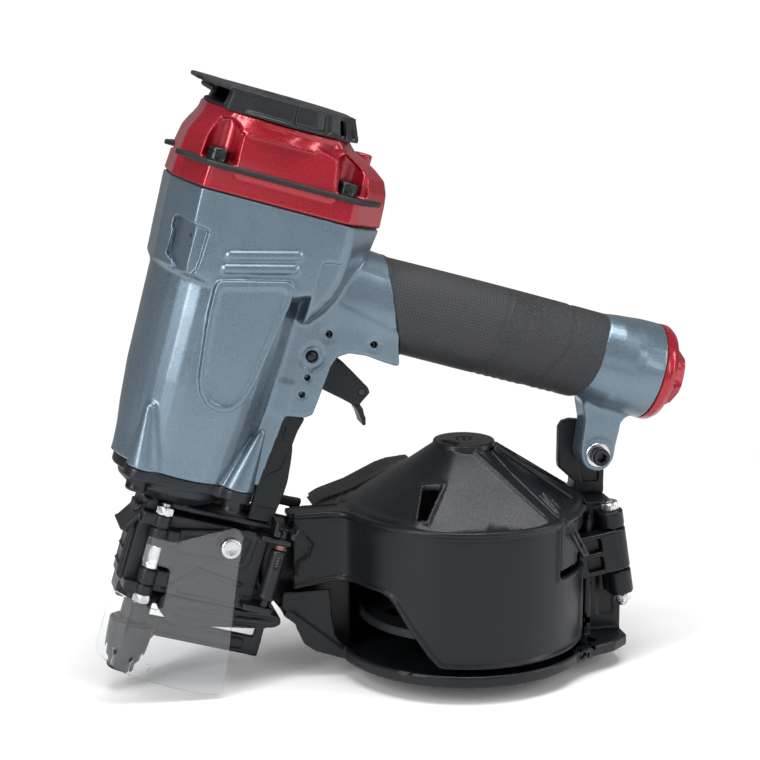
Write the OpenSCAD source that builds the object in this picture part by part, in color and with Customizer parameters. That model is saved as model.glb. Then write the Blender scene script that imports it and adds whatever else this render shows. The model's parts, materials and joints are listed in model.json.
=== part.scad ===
// Pneumatic coil nail gun standing on the base of its round magazine and on its nose tip.
// The drive line (cylinder, driver, nose) leans by "lean" from the vertical in that stance,
// so the gun's own parts are drawn along the drive line and leaned by module drive().
// The magazine is drawn upright, around the origin at the centre of its base.

/* [Stance] */
// Lean of the drive line from the vertical, degrees
lean = 16.3; // [16:0.1:16.6]
// Distance of the nose tip in front of the magazine axis
nose_reach = 173.4; // [172:0.2:176]
// Height of the nose tip's centre above the floor
nose_rise = 2; // [1.9:0.1:2.2]

/* [Power unit] */
// Half width of the barrel's flat sides
body_y = 33.5; // [33:0.5:35]
// Radius of the round lower barrel
barrel_r = 34.5; // [34:0.5:36]
// Bore of the working cylinder, radius
bore_r = 22; // [21.5:0.1:22.2]
// Stroke of the driving piston
stroke = 85; // [60:5:85]
// Height of the face between barrel and cap
seam_z = 240.9; // [240.9:0.1:241]

/* [Handle] */
// Height of the handle's axis along the drive line
grip_z = 206.2; // [205.8:0.1:206.6]
// Half height of the rubber grip
grip_b = 22.2; // [21.8:0.1:22.6]
// Half width of the rubber grip
grip_a = 18.6; // [18:0.1:19.5]
// Radius of the handle's rear end
tail_r = 24.4; // [24:0.1:25]

/* [Magazine] */
// Radius of the magazine base
base_r = 62.9; // [62.5:0.1:63.5]
// Outer radius of the drum cover
drum_r = 60; // [59.5:0.1:60]
// Wall of the moulded shells
wall = 2.5; // [2:0.1:3]
// Height of the drum's rim
rim_z = 76; // [75.5:0.1:77]
// Height of the coil tray at rest
tray_z = 19; // [17:0.5:22]

/* [Fits] */
// Radial clearance of turning and sliding pins
run = 0.06; // [0.03:0.01:0.09]

/* [Hidden] */
$fn = 48;
hinge_tilt = -9.5;                 // lean of the cover's hinge pin in its own plane
hx = -2.5; hy = -17;               // door hinge pin, in the drive line's frame
cap_xy = [[-25.5, 27.5], [37.5, 27]];
nose_xy = [[-20.5, 24], [26.6, 24]];
BLACK = [0.07, 0.07, 0.08];
PAINT = [0.5, 0.58, 0.64];
RED = [0.62, 0.05, 0.1];

module drive() translate([-nose_reach, 0, nose_rise]) rotate([0, lean, 0]) children();
module alongx(x) translate([x, 0, 0]) rotate([0, 90, 0]) children();
module alongy(y) translate([0, y, 0]) rotate([-90, 0, 0]) children();
// a plate drawn as an outline in the X-Z plane, from y0 to y1
module slab(y0, y1, pts) translate([0, y1, 0]) rotate([90, 0, 0]) linear_extrude(y1 - y0) polygon(pts);
module box(a, b) translate(a) cube([b[0] - a[0], b[1] - a[1], b[2] - a[2]]);
module tube(r1, r0, h) difference() { cylinder(r = r1, h = h); translate([0, 0, -1]) cylinder(r = r0, h = h + 2); }
function oval(a, b, n) = [for (i = [0 : n - 1]) [a * cos(360 * i / n), b * sin(360 * i / n)]];
// an oval bar along X whose half width is a and half height is b
module bar(x0, x1, a, b, n = 40) translate([x0, 0, grip_z]) rotate([0, 90, 0]) rotate([0, 0, 90])
  linear_extrude(x1 - x0) polygon(oval(a, b, n));
// a round wire wound as a helix from its lower to its upper end, w the wire's radius
module coil(r, w, h, turns, per = 14, m = 8) {
  n = floor(turns * per);
  pitch = (h - 2 * w) / n;
  pts = [for (i = [0 : n], j = [0 : m - 1]) let (a = 360 * i / per, b = 360 * j / m, q = r + w * cos(b)) [q * cos(a), q * sin(a), w + pitch * i + w * sin(b)]];
  polyhedron(pts, concat([[for (j = [m - 1 : -1 : 0]) j]], [[for (j = [0 : m - 1]) n * m + j]],
    [for (i = [0 : n - 1], j = [0 : m - 1]) [i * m + (j + 1) % m, (i + 1) * m + (j + 1) % m, (i + 1) * m + j, i * m + j]]));
}
module hexnut(r, h, bore) difference() { cylinder(r = r, h = h, $fn = 6); translate([0, 0, -1]) cylinder(r = bore, h = h + 2); }
module socket_screw(hr, hh, r, l, key) difference() {
  union() { cylinder(r = hr, h = hh); translate([0, 0, -l]) cylinder(r = r, h = l + 1); }
  translate([0, 0, hh * 0.45]) cylinder(r = key, h = hh, $fn = 6);
}
module seam_plan(i = 0) polygon([[-41.3 + i, -12], [-28 + i * 0.7, -body_y + i], [37 - i * 0.6, -body_y + i], [61 - i, -14],
  [61 - i, 14], [37 - i * 0.6, body_y - i], [-28 + i * 0.7, body_y - i], [-41.3 + i, 12]]);
module skid_plan() polygon([[-44, -19], [-29, -36.5], [39, -36.5], [57, -21], [50, -18], [32, -21], [32, -30.5], [-19, -30.5], [-19, -21], [-38, -18]]);
module at_cap_screws() for (p = cap_xy, s = [-1, 1]) translate([p[0], s * p[1], 0]) children();
module at_nose_screws() for (p = nose_xy, s = [-1, 1]) translate([p[0], s * p[1], 0]) children();

// ---- barrel and handle: one die casting --------------------------------
module housing() color(PAINT) drive() difference() {
  union() {
    hull() {
      translate([0, 0, seam_z - 2]) linear_extrude(2) seam_plan();
      translate([0, 0, 206]) linear_extrude(1) seam_plan(1.8);
    }
    hull() {
      translate([0, 0, 206]) linear_extrude(1) seam_plan(1.8);
      translate([0.5, 0, 150]) cylinder(r = barrel_r + 1, h = 1, $fn = 40);
    }
    hull() {
      translate([0.5, 0, 150]) cylinder(r = barrel_r + 1, h = 1, $fn = 40);
      translate([0, 0, 106]) cylinder(r = 32.5, h = 1, $fn = 40);
    }
    // lands of the nose screws
    at_nose_screws() cylinder(r = 7, h = 26 + 106);
    // neck of the handle
    intersection() { bar(20, 92, grip_a + 0.6, grip_b); slab(-30, 30, [[20, 232], [69, 232], [89, 180], [20, 180]]); }
    intersection() { bar(40, 192, grip_a - 3, grip_b - 3); box([40, -40, 150], [192, 40, 240]); }
    hull() { bar(190, 191, grip_a - 0.2, grip_b, 36); alongx(208) translate([-grip_z, 0, 0]) cylinder(r = tail_r, h = 11.5, $fn = 40); }
    // cheeks around the trigger
    slab(-16.5, 16.5, [[20, 190], [20, 150], [36, 145], [53, 146.8], [53.3, 161], [55, 172], [57.5, 179], [61, 182], [81.3, 182], [86, 184], [80, 195]]);
    // lug that carries the magazine
    hull() {
      slab(-7.5, 7.5, [[189, 192], [189, 176], [212, 178], [212, 192]]);
      translate([204.3, 0, 159.7]) alongy(-7.5) cylinder(r = 8.5, h = 15, $fn = 32);
    }
  }
  cut_below_flange();
  translate([0, 0, 100]) cylinder(r = 27, h = 160);
  translate([0, 0, 198]) cylinder(r = 30.8, h = 60);
  // air room in the handle, and its threaded rear end
  alongx(33) translate([-grip_z, 0, 0]) cylinder(r = 13, h = 180);
  alongx(203) translate([-grip_z, 0, 0]) cylinder(r = 17, h = 20);
  // slot and pivot of the trigger
  box([40.5, -8.6, 130], [95, 8.6, 182.4]);
  translate([46, 0, 175]) alongy(-20) cylinder(r = 2.5, h = 40);
  // seat and pins of the trigger valve
  box([48, -8.1, 181], [76, 8.1, 196]);
  for (p = [[50.8, 187], [73.4, 187.2]]) translate([p[0], 0, p[1]]) alongy(-25) cylinder(r = 1.6, h = 50);
  // blind spring pin holes in the cheek
  for (z = [164.4, 155.8]) translate([46.5, 0, z]) alongy(-20) cylinder(r = 1.6, h = 8);
  at_cap_screws() translate([0, 0, 214]) cylinder(r = 3.03, h = 40);
  at_nose_screws() translate([0, 0, 90]) cylinder(r = 3.03, h = 36);
  translate([204.3, 0, 159.7]) alongy(-10) cylinder(r = 4.1, h = 20);
}
module cut_below_flange() at_nose_screws() translate([0, 0, -1]) cylinder(r = 9, h = 107);

module cylinder_cap() color(RED) drive() difference() {
  union() {
    translate([0, 0, seam_z + 0.8]) linear_extrude(10.3) seam_plan(0);
    hull() { translate([0, 0, 251.9]) linear_extrude(1) seam_plan(2.6); translate([0, 0, 269]) linear_extrude(1) seam_plan(7); }
    hull() { translate([0, 0, 269]) linear_extrude(1) seam_plan(7); translate([2, 0, 276]) cylinder(r = 33.5, h = 1.9, $fn = 40); }
  }
  translate([0, 0, 240]) cylinder(r = 26, h = 26);
  translate([0, 0, 260]) cylinder(r = 3.03, h = 20);
  for (a = [30 : 60 : 330]) rotate([0, 0, a]) translate([14, 0, 250]) cylinder(r = 4.5, h = 40);
  for (s = [0, 1]) mirror([0, s, 0]) translate([0, 0, 252]) linear_extrude(2.6) skid_plan();
  at_cap_screws() { translate([0, 0, 240]) cylinder(r = 3.03, h = 20); translate([0, 0, 254.5]) cylinder(r = 6.3, h = 30); }
}
module cap_gasket() color("black") drive() difference() {
  translate([0, 0, seam_z]) linear_extrude(0.8) seam_plan(1);
  translate([0, 0, 240]) cylinder(r = 30.8, h = 5);
  at_cap_screws() translate([0, 0, 238]) cylinder(r = 3.2, h = 6);
}
module cap_screws() color(BLACK) drive() at_cap_screws() translate([0, 0, 254.6]) socket_screw(5, 6, 3, 39, 2.9);
module skid_plate_left() color(BLACK) drive() skid();
module skid_plate_right() color(BLACK) drive() mirror([0, 1, 0]) skid();
module skid() difference() {
  translate([0, 0, 252]) linear_extrude(2.6) skid_plan();
  for (p = cap_xy) translate([p[0], -p[1], 250]) cylinder(r = 3.03, h = 6);
}

// ---- exhaust -----------------------------------------------------------
module defl_plan(i = 0) polygon([[-27 + i, -26 + i], [-12, -28 + i], [15, -28 + i], [29 - i * 0.5, -23 + i], [37.6 - i, -11], [37.6 - i, 11],
  [29 - i * 0.5, 23 - i], [15, 28 - i], [-12, 28 - i], [-27 + i, 26 - i]]);
module exhaust_deflector() color(BLACK) drive() difference() {
  union() {
    translate([3, 0, 278.2]) cylinder(r = 35.3, h = 2);
    translate([0, 0, 280]) linear_extrude(6.6) difference() { defl_plan(); defl_plan(2.2); }
    translate([0, 0, 286.4]) linear_extrude(2.2) union() { defl_plan(); polygon([[-26, -26], [-38.5, -17], [-38.5, 17], [-26, 26]]); }
    translate([0, 0, 278.2]) cylinder(r = 9, h = 10);
  }
  box([-60, -20, 280.2], [-20, 20, 286.4]);
  difference() { translate([0, 0, 277]) cylinder(r = 22, h = 5); translate([0, 0, 276]) cylinder(r = 9, h = 8); }
  translate([0, 0, 270]) cylinder(r = 4 + run, h = 30);
  translate([0, 0, 284.4]) cylinder(r = 7.2, h = 10);
  for (a = [-1, 1], x = [-16, 0, 16]) translate([x, a * 17, 284]) rotate([0, 0, 20 * a]) box([-3.5, -1.2, 0], [3.5, 1.2, 8]);
}
module deflector_bolt() color("dimgray") drive() difference() {
  union() { translate([0, 0, 278.1]) cylinder(r = 4, h = 8); translate([0, 0, 284.7]) cylinder(r = 6.8, h = 3.4); translate([0, 0, 268]) cylinder(r = 3, h = 14); }
  translate([0, 0, 286]) cylinder(r = 3, h = 5, $fn = 6);
}

// ---- working parts inside the barrel -----------------------------------
module head_valve() color("ivory") drive() difference() {
  union() { translate([0, 0, 236]) cylinder(r = 25.7, h = 18); }
  translate([0, 0, 230]) cylinder(r = 12, h = 30);
  translate([0, 0, 235]) cylinder(r = 23.4, h = 6);
  translate([0, 0, 250]) difference() { cylinder(r = 24, h = 10); translate([0, 0, -1]) cylinder(r = 17, h = 12); }
}
module head_valve_spring() color("silver") drive() translate([0, 0, 251.2]) coil(20.5, 1, 13.6, 2.5);
module cylinder_sleeve() color("silver") drive() translate([0, 0, 112]) difference() {
  union() { cylinder(r = 25, h = 123); translate([0, 0, 70]) cylinder(r = 26.9, h = 12); translate([0, 0, 2]) cylinder(r = 26.9, h = 6); }
  translate([0, 0, -1]) cylinder(r = bore_r, h = 130);
  for (a = [0 : 45 : 315]) rotate([0, 0, a]) translate([0, 0, 40]) rotate([0, 90, 0]) cylinder(r = 1.6, h = 40);
}
module main_piston() color("gray") drive() difference() {
  union() { translate([0, 0, 224]) cylinder(r = bore_r - run, h = 8); translate([0, 0, 214]) cylinder(r = 9, h = 10.5); }
  translate([0, 0, 226.4]) difference() { cylinder(r = 30, h = 3.2); translate([0, 0, -1]) cylinder(r = bore_r - 2.2, h = 6); }
  translate([0, 0, 200]) cylinder(r = 3.5, h = 26);
  translate([0, 0, 229]) cylinder(r = 8, h = 6);
}
module piston_ring() color("black") drive() translate([0, 0, 226.6]) tube(bore_r - 0.08, bore_r - 2, 2.8);
module driver_blade() color("silver") drive() difference() {
  union() { translate([0, 0, 97]) cylinder(r = 3.1, h = 110); translate([0, 0, 206]) cylinder(r = 3.5, h = 19); }
  box([-10, 2.2, 96], [10, 10, 150]);
  box([-10, -10, 96], [10, -2.2, 150]);
}
module piston_bumper() color([0.2, 0.2, 0.2]) drive() difference() {
  union() { translate([0, 0, 106.2]) cylinder(r = bore_r - 1, h = 26); translate([0, 0, 106.2]) cylinder(r = 26.5, h = 5.4); }
  translate([0, 0, 100]) cylinder(r = 5, h = 40);
  translate([0, 0, 124]) cylinder(r1 = 6.4, r2 = 12, h = 9);
}

// ---- nose ---------------------------------------------------------------
module nose_body() color([0.12, 0.12, 0.13]) drive() difference() {
  union() {
    translate([0, 0, 98]) cylinder(r = 31, h = 7.9);
    at_nose_screws() translate([0, 0, 98]) cylinder(r = 8, h = 7.9);
    translate([0, 0, 89]) cylinder(r1 = 15, r2 = 25, h = 9.2);
    // block round the driver's way, and the tube that the contact tip slides on
    box([-12.5, -3.6, 36], [12, 16, 92]);
    box([-12.5, -12, 44], [-4.9, 16, 84]);
    translate([0, 0, 18.5]) cylinder(r = 7, h = 24.9);
    // far side wall of the nail's way, top plate and lower rail
    box([8, 5, 36], [46, 13, 92]);
    box([46, 9.05, 36], [64, 13, 89.8]);
    box([-12.5, -12, 86.2], [62, 13, 89.2]);
    box([51, -22.5, 86.2], [62, -11, 89.2]);
    slab(-12, 13, [[8, 36.5], [14, 31.5], [62, 36], [67, 40], [67, 43.6], [8, 43.6]]);
    // knuckles of the door hinge
    for (z = [[44, 49], [77.8, 84]]) { translate([hx, hy, z[0]]) cylinder(r = 4.4, h = z[1] - z[0]); box([-12.5, -18.5, z[0]], [-4.5, -9, z[1]]); }
    // front tab
    slab(-13, 11, [[-7, 91], [-19.5, 72.5], [-17.8, 70.6], [-12, 79], [-4, 86]]);
    slab(-6, 8, [[-12.2, 84], [-15.2, 84], [-15.2, 47.6], [-12.2, 44.6]]);
    // feed cylinder on the far side
    translate([0, 22, 65]) alongx(34) cylinder(r = 9, h = 28);
    box([34, 12, 58], [62, 20, 72]);
  }
  translate([0, 0, 0]) cylinder(r = 4.6, h = 99);
  translate([0, 0, 98]) cylinder(r = 5, h = 10);
  // way of the nails from the magazine into the driver's way
  box([2, -5, 44], [46, 5, 84.2]);
  box([-4.5, -12.6, 44.2], [51, -4.7, 85.8]);
  translate([hx, hy, 40]) cylinder(r = 2.5, h = 50);
  translate([0, 22, 65]) alongx(30) cylinder(r = 6 + run, h = 60);
  box([11.5, 4, 58.5], [44, 14, 71.5]);
  box([33, 4, 61], [47, 21, 69]);
  box([54.4, -30, 85], [59.6, -14.4, 95]);
  at_nose_screws() translate([0, 0, 90]) cylinder(r = 3.03, h = 20);
  for (z = [50, 80]) translate([56, 0, z]) alongy(0) cylinder(r = 2.03, h = 20);
}
module nose_screws() color(BLACK) drive() at_nose_screws() translate([0, 0, 97.9]) mirror([0, 0, 1]) socket_screw(5.3, 6, 3, 26, 2.9);
module contact_tip() color([0.1, 0.1, 0.1]) drive() rotate_extrude($fn = 48)
  polygon([[4.9, 0], [6.6, 0], [6.6, 4], [8.4, 6], [8.8, 12], [9.6, 26], [7.4, 26], [7.4, 9.5], [4.9, 9.5]]);
module contact_arm() color([0.15, 0.15, 0.15]) drive() difference() {
  union() {
    translate([0, 0, 15]) tube(10.9, 9.7, 8);
    box([6, 8.5, 15], [14, 17, 20]);
    box([10, 13.6, 15], [69, 16.6, 25]);
    box([64.4, 13.6, 15], [69, 16.6, 99]);
    box([41.5, 13.6, 94], [69, 16.6, 99]);
    box([41.5, -2.5, 94], [46.5, 16.6, 99]);
    translate([44, 0, 94]) cylinder(r = 3, h = 62);
    translate([44, 0, 108]) cylinder(r = 4.7, h = 3);
  }
  translate([0, 0, 10]) cylinder(r = 9.7, h = 20);
}
module contact_spring() color("indianred") drive() translate([44, 0, 111.6]) coil(4.1, 0.55, 21.6, 7);
module depth_dial() color(BLACK) drive() translate([44, 0, 101]) difference() {
  cylinder(r = 7.2, h = 5.5);
  translate([0, 0, -1]) cylinder(r = 3 + run, h = 10);
  for (a = [0 : 30 : 330]) rotate([0, 0, a]) translate([7.4, 0, -1]) cylinder(r = 0.9, h = 10, $fn = 16);
}
module arm_cover() color(BLACK) drive() difference() {
  union() {
    difference() { slab(-13.4, 13.4, [[36.5, 144.4], [37.5, 106.5], [38.2, 90], [50.5, 90], [52.5, 110], [49.8, 129], [52, 144.4]]); box([30, -11.2, 80], [49, 11.2, 150]); }
    box([39, -11.4, 133.8], [49.4, 11.4, 136]);
  }
  box([30, -3.5, 130], [44, 3.5, 140]);
  translate([44, 0, 130]) cylinder(r = 3.5, h = 10);
  box([30, 5, 89], [48, 20, 109]);
  box([45, -9, 99], [60, 9, 115.6]);
  translate([0, 0, 90]) cylinder(r = 36.3, h = 60);
}

// ---- trigger -------------------------------------------------------------
module trigger() color(BLACK) drive() difference() {
  union() {
    for (s = [-1, 1]) translate([0, s * 6.9, 0]) {
      slab(-1.3, 1.3, [[46, 169], [46, 181], [50, 180.2], [60, 174.5], [79.4, 165.5], [81.6, 162.5], [78, 156], [68.4, 157.8], [57.8, 159.2]]);
      translate([46, 0, 175]) alongy(-1.3) cylinder(r = 5.3, h = 2.6);
    }
    slab(-8.2, 8.2, [[58, 160.9], [57.6, 159.4], [68.4, 157.8], [77, 154.8], [82.4, 147.6], [84.4, 148.8], [79.4, 156.4], [81.6, 162.5], [79, 160], [68.4, 160.4]]);
    translate([46, 0, 175]) alongy(-8.2) cylinder(r = 4.2, h = 16.4);
  }
  translate([46, 0, 175]) alongy(-20) cylinder(r = 2.5 + run, h = 40);
  translate([77, 0, 162.6]) alongy(-20) cylinder(r = 1.6, h = 40);
  box([70, -5.6, 157.8], [80.6, 5.6, 170]);
}
module trigger_pin() color("dimgray") drive() translate([46, 0, 175]) alongy(-16.8) cylinder(r = 2.5, h = 33.6);
module safety_lever() color("gray") drive() difference() {
  union() { slab(-3.5, 3.5, [[42, 161.6], [77, 161], [77, 164.3], [42, 163.8]]); translate([77, 0, 162.6]) alongy(-4.8) cylinder(r = 2.9, h = 9.6); }
  translate([77, 0, 162.6]) alongy(-20) cylinder(r = 1.6 + run, h = 40);
}
module lever_pin() color("dimgray") drive() translate([77, 0, 162.6]) alongy(-8.4) cylinder(r = 1.6, h = 16.8);
module trigger_valve() color("dimgray") drive() difference() {
  union() { box([48.2, -8, 181.2], [75.8, 8, 194]); translate([60.5, 0, 177.5]) cylinder(r = 5, h = 5); translate([60.5, 0, 190]) cylinder(r = 6.5, h = 9); }
  translate([60.5, 0, 170]) cylinder(r = 2 + run, h = 40);
  translate([60.5, 0, 184]) cylinder(r = 5, h = 11);
  for (p = [[50.8, 187], [73.4, 187.2]]) translate([p[0], 0, p[1]]) alongy(-25) cylinder(r = 1.6, h = 50);
}
module trigger_plunger() color("silver") drive() { translate([60.5, 0, 174.6]) cylinder(r = 2, h = 22); translate([60.5, 0, 184.4]) cylinder(r = 4.4, h = 1.6); }
module trigger_spring() color("silver") drive() translate([60.5, 0, 186.6]) coil(3.6, 0.4, 7.6, 4);
module valve_pins() color("dimgray") drive() for (p = [[50.8, 187], [73.4, 187.2]]) translate([p[0], 0, p[1]]) alongy(-17.5) cylinder(r = 1.57, h = 35);

// ---- handle --------------------------------------------------------------
module grip_sleeve() color([0.16, 0.17, 0.18]) drive() difference() {
  intersection() { bar(60, 200, grip_a, grip_b); slab(-30, 30, [[69.4, 232], [189.6, 232], [189.6, 218], [182, 180], [89.4, 180]]); }
  bar(50, 210, grip_a - 3, grip_b - 3);
}
module end_cap() color(RED) drive() alongx(219.6) translate([-grip_z, 0, 0]) difference() {
  union() { cylinder(r = tail_r, h = 4.4); translate([0, 0, 4.3]) cylinder(r1 = tail_r, r2 = tail_r - 2, h = 2.2); translate([0, 0, -8]) cylinder(r = 16.9, h = 9); }
  translate([0, 0, -10]) cylinder(r = 10.05, h = 30);
  translate([0, 0, -5]) difference() { cylinder(r = 18, h = 2.6); translate([0, 0, -1]) cylinder(r = 15, h = 6); }
}
module plug_seal() color("black") drive() alongx(214.8) translate([-grip_z, 0, 0]) tube(16.95, 15.05, 2.2);
module inlet_plug() color(RED) drive() alongx(207) translate([-grip_z, 0, 0]) difference() {
  union() { cylinder(r = 10, h = 19.5); translate([0, 0, 19.2]) cylinder(r = 14.6, h = 8.4, $fn = 6); }
  translate([0, 0, 10]) cylinder(r = 5.55, h = 30);
  translate([0, 0, -5]) cylinder(r = 4, h = 30);
}

// ---- door of the nose ----------------------------------------------------
module nose_door() color(BLACK) drive() difference() {
  union() {
    box([-4.1, -12.3, 44.8], [50, -5.1, 83.6]);
    for (z = [[49.3, 57], [69.3, 77.5]]) { translate([hx, hy, z[0]]) cylinder(r = 4.6, h = z[1] - z[0]); box([hx, -19, z[0]], [8, -12, z[1]]); }
    box([28, -24.6, 72], [36, -12, 82]);
    for (z = [[47, 50], [82.4, 85]]) box([46, -21, z[0]], [61, -8, z[1]]);
    box([46, -12.4, 47], [52, -8, 85]);
  }
  translate([hx, hy, 30]) cylinder(r = 2.5 + run, h = 70);
  translate([57, -17, 40]) cylinder(r = 2 + run, h = 50);
  translate([31.5, -40, 77]) rotate([-90, 0, 0]) cylinder(r = 2.03, h = 22);
  // relief for the heads of the nails
  box([2, -6.6, 60], [46, -5, 78]);
}
module door_hinge_bolt() color("silver") drive() translate([hx, hy, 38.6]) cylinder(r = 2.5, h = 51.4);
module door_hinge_nuts() color("gainsboro") drive() for (z = [39.8, 84.3]) translate([hx, hy, z]) hexnut(4.6, 3.9, 2.53);
module door_spacer() color("gainsboro") drive() translate([hx, hy, 57.4]) tube(4.2, 2.5 + run, 11.6);
module nose_shield() color([0.8, 0.85, 0.88, 0.4]) drive() difference() {
  union() {
    box([-6, -26.2, 3], [47, -24.7, 84]);
    translate([-6, -26.2, 3]) rotate([0, 0, 153]) box([0, -1.5, 0], [13.6, 0, 40]);
  }
  slab(-40, -20, [[-30, 60], [-30, 43], [0, 41], [10, 46], [13, 60]]);
  slab(-40, -20, [[-30, 90], [-30, 74], [5, 74], [27, 84], [27, 95]]);
  slab(-40, -20, [[-30, 12], [-19, 11], [0, 4], [10, 0], [-30, 0]]);
  slab(-40, -20, [[36, 90], [38, 84], [43, 76], [47.1, 66], [60, 66], [60, 90]]);
  translate([31.5, -40, 77]) rotate([-90, 0, 0]) cylinder(r = 2.03, h = 30);
}
module shield_rivet() color("gainsboro") drive() translate([31.5, -27.6, 77]) rotate([-90, 0, 0]) { cylinder(r = 4.8, h = 1.4); cylinder(r = 2, h = 9); }
module door_latch() color(BLACK) drive() translate([57, -17, 0]) difference() {
  union() { translate([0, 0, 53.6]) cylinder(r = 4.1, h = 25.4); translate([0, 0, 46.4]) cylinder(r = 2, h = 42.4); }
  box([-1.4, -8, 70], [1.4, -2.6, 76.4]);
}
module latch_spring() color("indianred") drive() translate([57, -17, 79.2]) coil(2.9, 0.35, 3, 3);

// ---- nail feed -----------------------------------------------------------
module feed_piston() color("gray") drive() difference() {
  union() { translate([0, 22, 65]) alongx(36) cylinder(r = 6, h = 6); translate([0, 22, 65]) alongx(16) cylinder(r = 2.5, h = 21); box([13, 9, 61.5], [20, 24, 68.5]); }
  translate([18, 11, 50]) cylinder(r = 1.5, h = 30);
  box([12, 8, 63], [22, 13.4, 67]);
}
module pawl_pin() color("dimgray") drive() translate([18, 11, 61.3]) cylinder(r = 1.5, h = 7.4);
module feed_pawl() color("silver") drive() difference() {
  union() { translate([18, 11, 63.3]) cylinder(r = 2.3, h = 3.4); translate([0, 0, 63.3]) linear_extrude(3.4) polygon([[16.2, 10], [13.8, 4.4], [16.4, 4.4], [19.8, 10]]); }
  translate([18, 11, 50]) cylinder(r = 1.5 + run, h = 30);
}
module feed_spring() color("silver") drive() translate([0, 22, 65]) alongx(42.3) coil(4.4, 0.5, 18.2, 5);
module feed_cylinder_cap() color("dimgray") drive() translate([0, 22, 65]) alongx(62.1) { cylinder(r = 9, h = 2); translate([0, 0, -1.2]) cylinder(r = 5.9, h = 2); }

// ---- magazine --------------------------------------------------------------
module sector(a0, a1, r = 200) linear_extrude(300) polygon(concat([[0, 0]], [for (i = [0 : 8]) let (a = a0 + (a1 - a0) * i / 8) [r * cos(a), r * sin(a)]]));
module top_shell() rotate_extrude($fn = 72) polygon([[drum_r, rim_z - 3], [drum_r, rim_z], [57, rim_z + 3.6], [51, 82.5], [30, 95], [14, 106.4], [10, 107.8], [6, 107.8],
  [6, 105.3], [10, 105.3], [13, 104], [29, 92.6], [50, 80.1], [56, rim_z + 1.2], [57.5, rim_z - 3]]);
module on_hinge(s) translate([75.8, -15, 49.5]) rotate([0, hinge_tilt, 0]) translate([0, 0, s]) children();
module magazine_base() color(BLACK) difference() {
  union() {
    cylinder(r = base_r, h = 3, $fn = 96);
    difference() { cylinder(r = base_r, h = 6, $fn = 96); translate([0, 0, 2]) cylinder(r = drum_r + 0.6, h = 10, $fn = 96); translate([0, 0, 2.9]) rotate([0, 0, 168]) translate([0, 0, 0]) sector(-8, 8); }
    linear_extrude(6) polygon([[50, -38], [73, -26], [82, -17], [82, 22], [52, 36], [61, 0]]);
    // rear half of the drum's wall and its top
    difference() { translate([0, 0, 2]) cylinder(r = drum_r, h = rim_z - 2.5, $fn = 96); translate([0, 0, 1]) cylinder(r = drum_r - wall, h = 100, $fn = 96);
      translate([0, 0, -1]) sector(171, 307.5); translate([0, 0, 71.3]) sector(108, 172); translate([0, 0, -249]) sector(307, 361); translate([0, 0, -233]) sector(326, 361); }
    difference() { top_shell(); translate([0, 0, -1]) sector(108, 307.5); translate([0, 0, -1]) cylinder(r = 16, h = 200); }
    // far wall, floor and lower near wall of the nails' way to the nose
    slab(6, 9, [[-102, 75], [-102, 37], [-92, 24], [-63, 0], [-56, 0], [-56, 71.3], [-61.5, 71.3], [-61.5, 75]]);
    slab(-8, 9, [[-93, 25], [-62, 0], [-58, 0], [-58, 2.6], [-91.5, 27.6]]);
    slab(-8, -5.5, [[-94, 37], [-94, 24], [-62, 0], [-57, 0], [-57, 5], [-72, 17], [-76, 37]]);
    // block that carries the hinge
    box([58.6, -7.5, 3], [82, 21, 20]);
    slab(-7.5, 21, [[60.6, 10], [82, 10], [76.6, 73.6], [60.6, 73.6]]);
    for (s = [[13.4, 22], [-22, -9.4]]) on_hinge(s[0]) { cylinder(r = 6.3, h = s[1] - s[0]); box([-6.3, 0, 0], [4, 10, s[1] - s[0]]); }
  }
  on_hinge(-40) cylinder(r = 2.53, h = 80);
  on_hinge(-8.8) box([-9, -12, 0], [12, 6.9, 21.6]);
  cylinder_hole_post();
  drive() box([40, -20, 86.1], [62.3, 20, 100]);
  translate([-nose_reach, 0, nose_rise]) rotate([0, lean, 0]) for (z = [50, 80]) translate([56, 0, z]) alongy(0) cylinder(r = 2.03, h = 20);
  for (x = [66, 74]) translate([x, 16.5, 60]) cylinder(r = 1.53, h = 20);
}
module cylinder_hole_post() translate([0, 0, 1.4]) cylinder(r = 3.03, h = 10);
module cover_window() translate([0, 0, 77]) rotate([0, 0, -132]) box([36, -4, 0], [44, 5, 16]);
module magazine_cover() color(BLACK) difference() {
  union() {
    difference() { translate([0, 0, 8.6]) cylinder(r = drum_r, h = rim_z - 8.7, $fn = 96); cylinder(r = drum_r - wall, h = 100, $fn = 96);
      translate([0, 0, -1]) sector(-20, 187.6); translate([0, 0, 47.5]) sector(-54, -10); }
    difference() { top_shell(); translate([0, 0, -1]) sector(-54, 109.5); }
    cylinder_top_hub();
    // front wall and roof of the nails' way
    slab(-8, -5.5, [[-88, 38], [-57.6, 41], [-57.6, 76], [-88, 76]]);
    slab(-8, 5.6, [[-88, 73.5], [-57.6, 73.5], [-57.6, 76], [-88, 76]]);
    on_hinge(-8.6) { cylinder(r = 6.3, h = 21.6); box([-21, -6.3, 0], [0, 2.6, 21.6]); }
  }
  slab(-90, -2, [[-140, 0], [-24, 0], [-25.4, 9.8], [-31.1, 14.7], [-38.8, 26.9], [-45.6, 40.5], [-57.6, 41], [-88, 38], [-140, 38]]);
  on_hinge(-40) cylinder(r = 2.5 + run, h = 80);
  cover_window();
  translate([0, 0, 90]) cylinder(r = 2, h = 30);
  cylinder(r = drum_r - wall - 0.01, h = rim_z - 3);
}
module cylinder_top_hub() translate([0, 0, 103.4]) cylinder(r = 9, h = 4.4);
module cover_hinge_bolt() color("silver") on_hinge(-29) cylinder(r = 2.5, h = 56.5);
module cover_hinge_nuts() color("gainsboro") { on_hinge(22.3) hexnut(4.9, 4, 2.53); on_hinge(-26.3) hexnut(4.9, 4, 2.53); }
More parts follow.
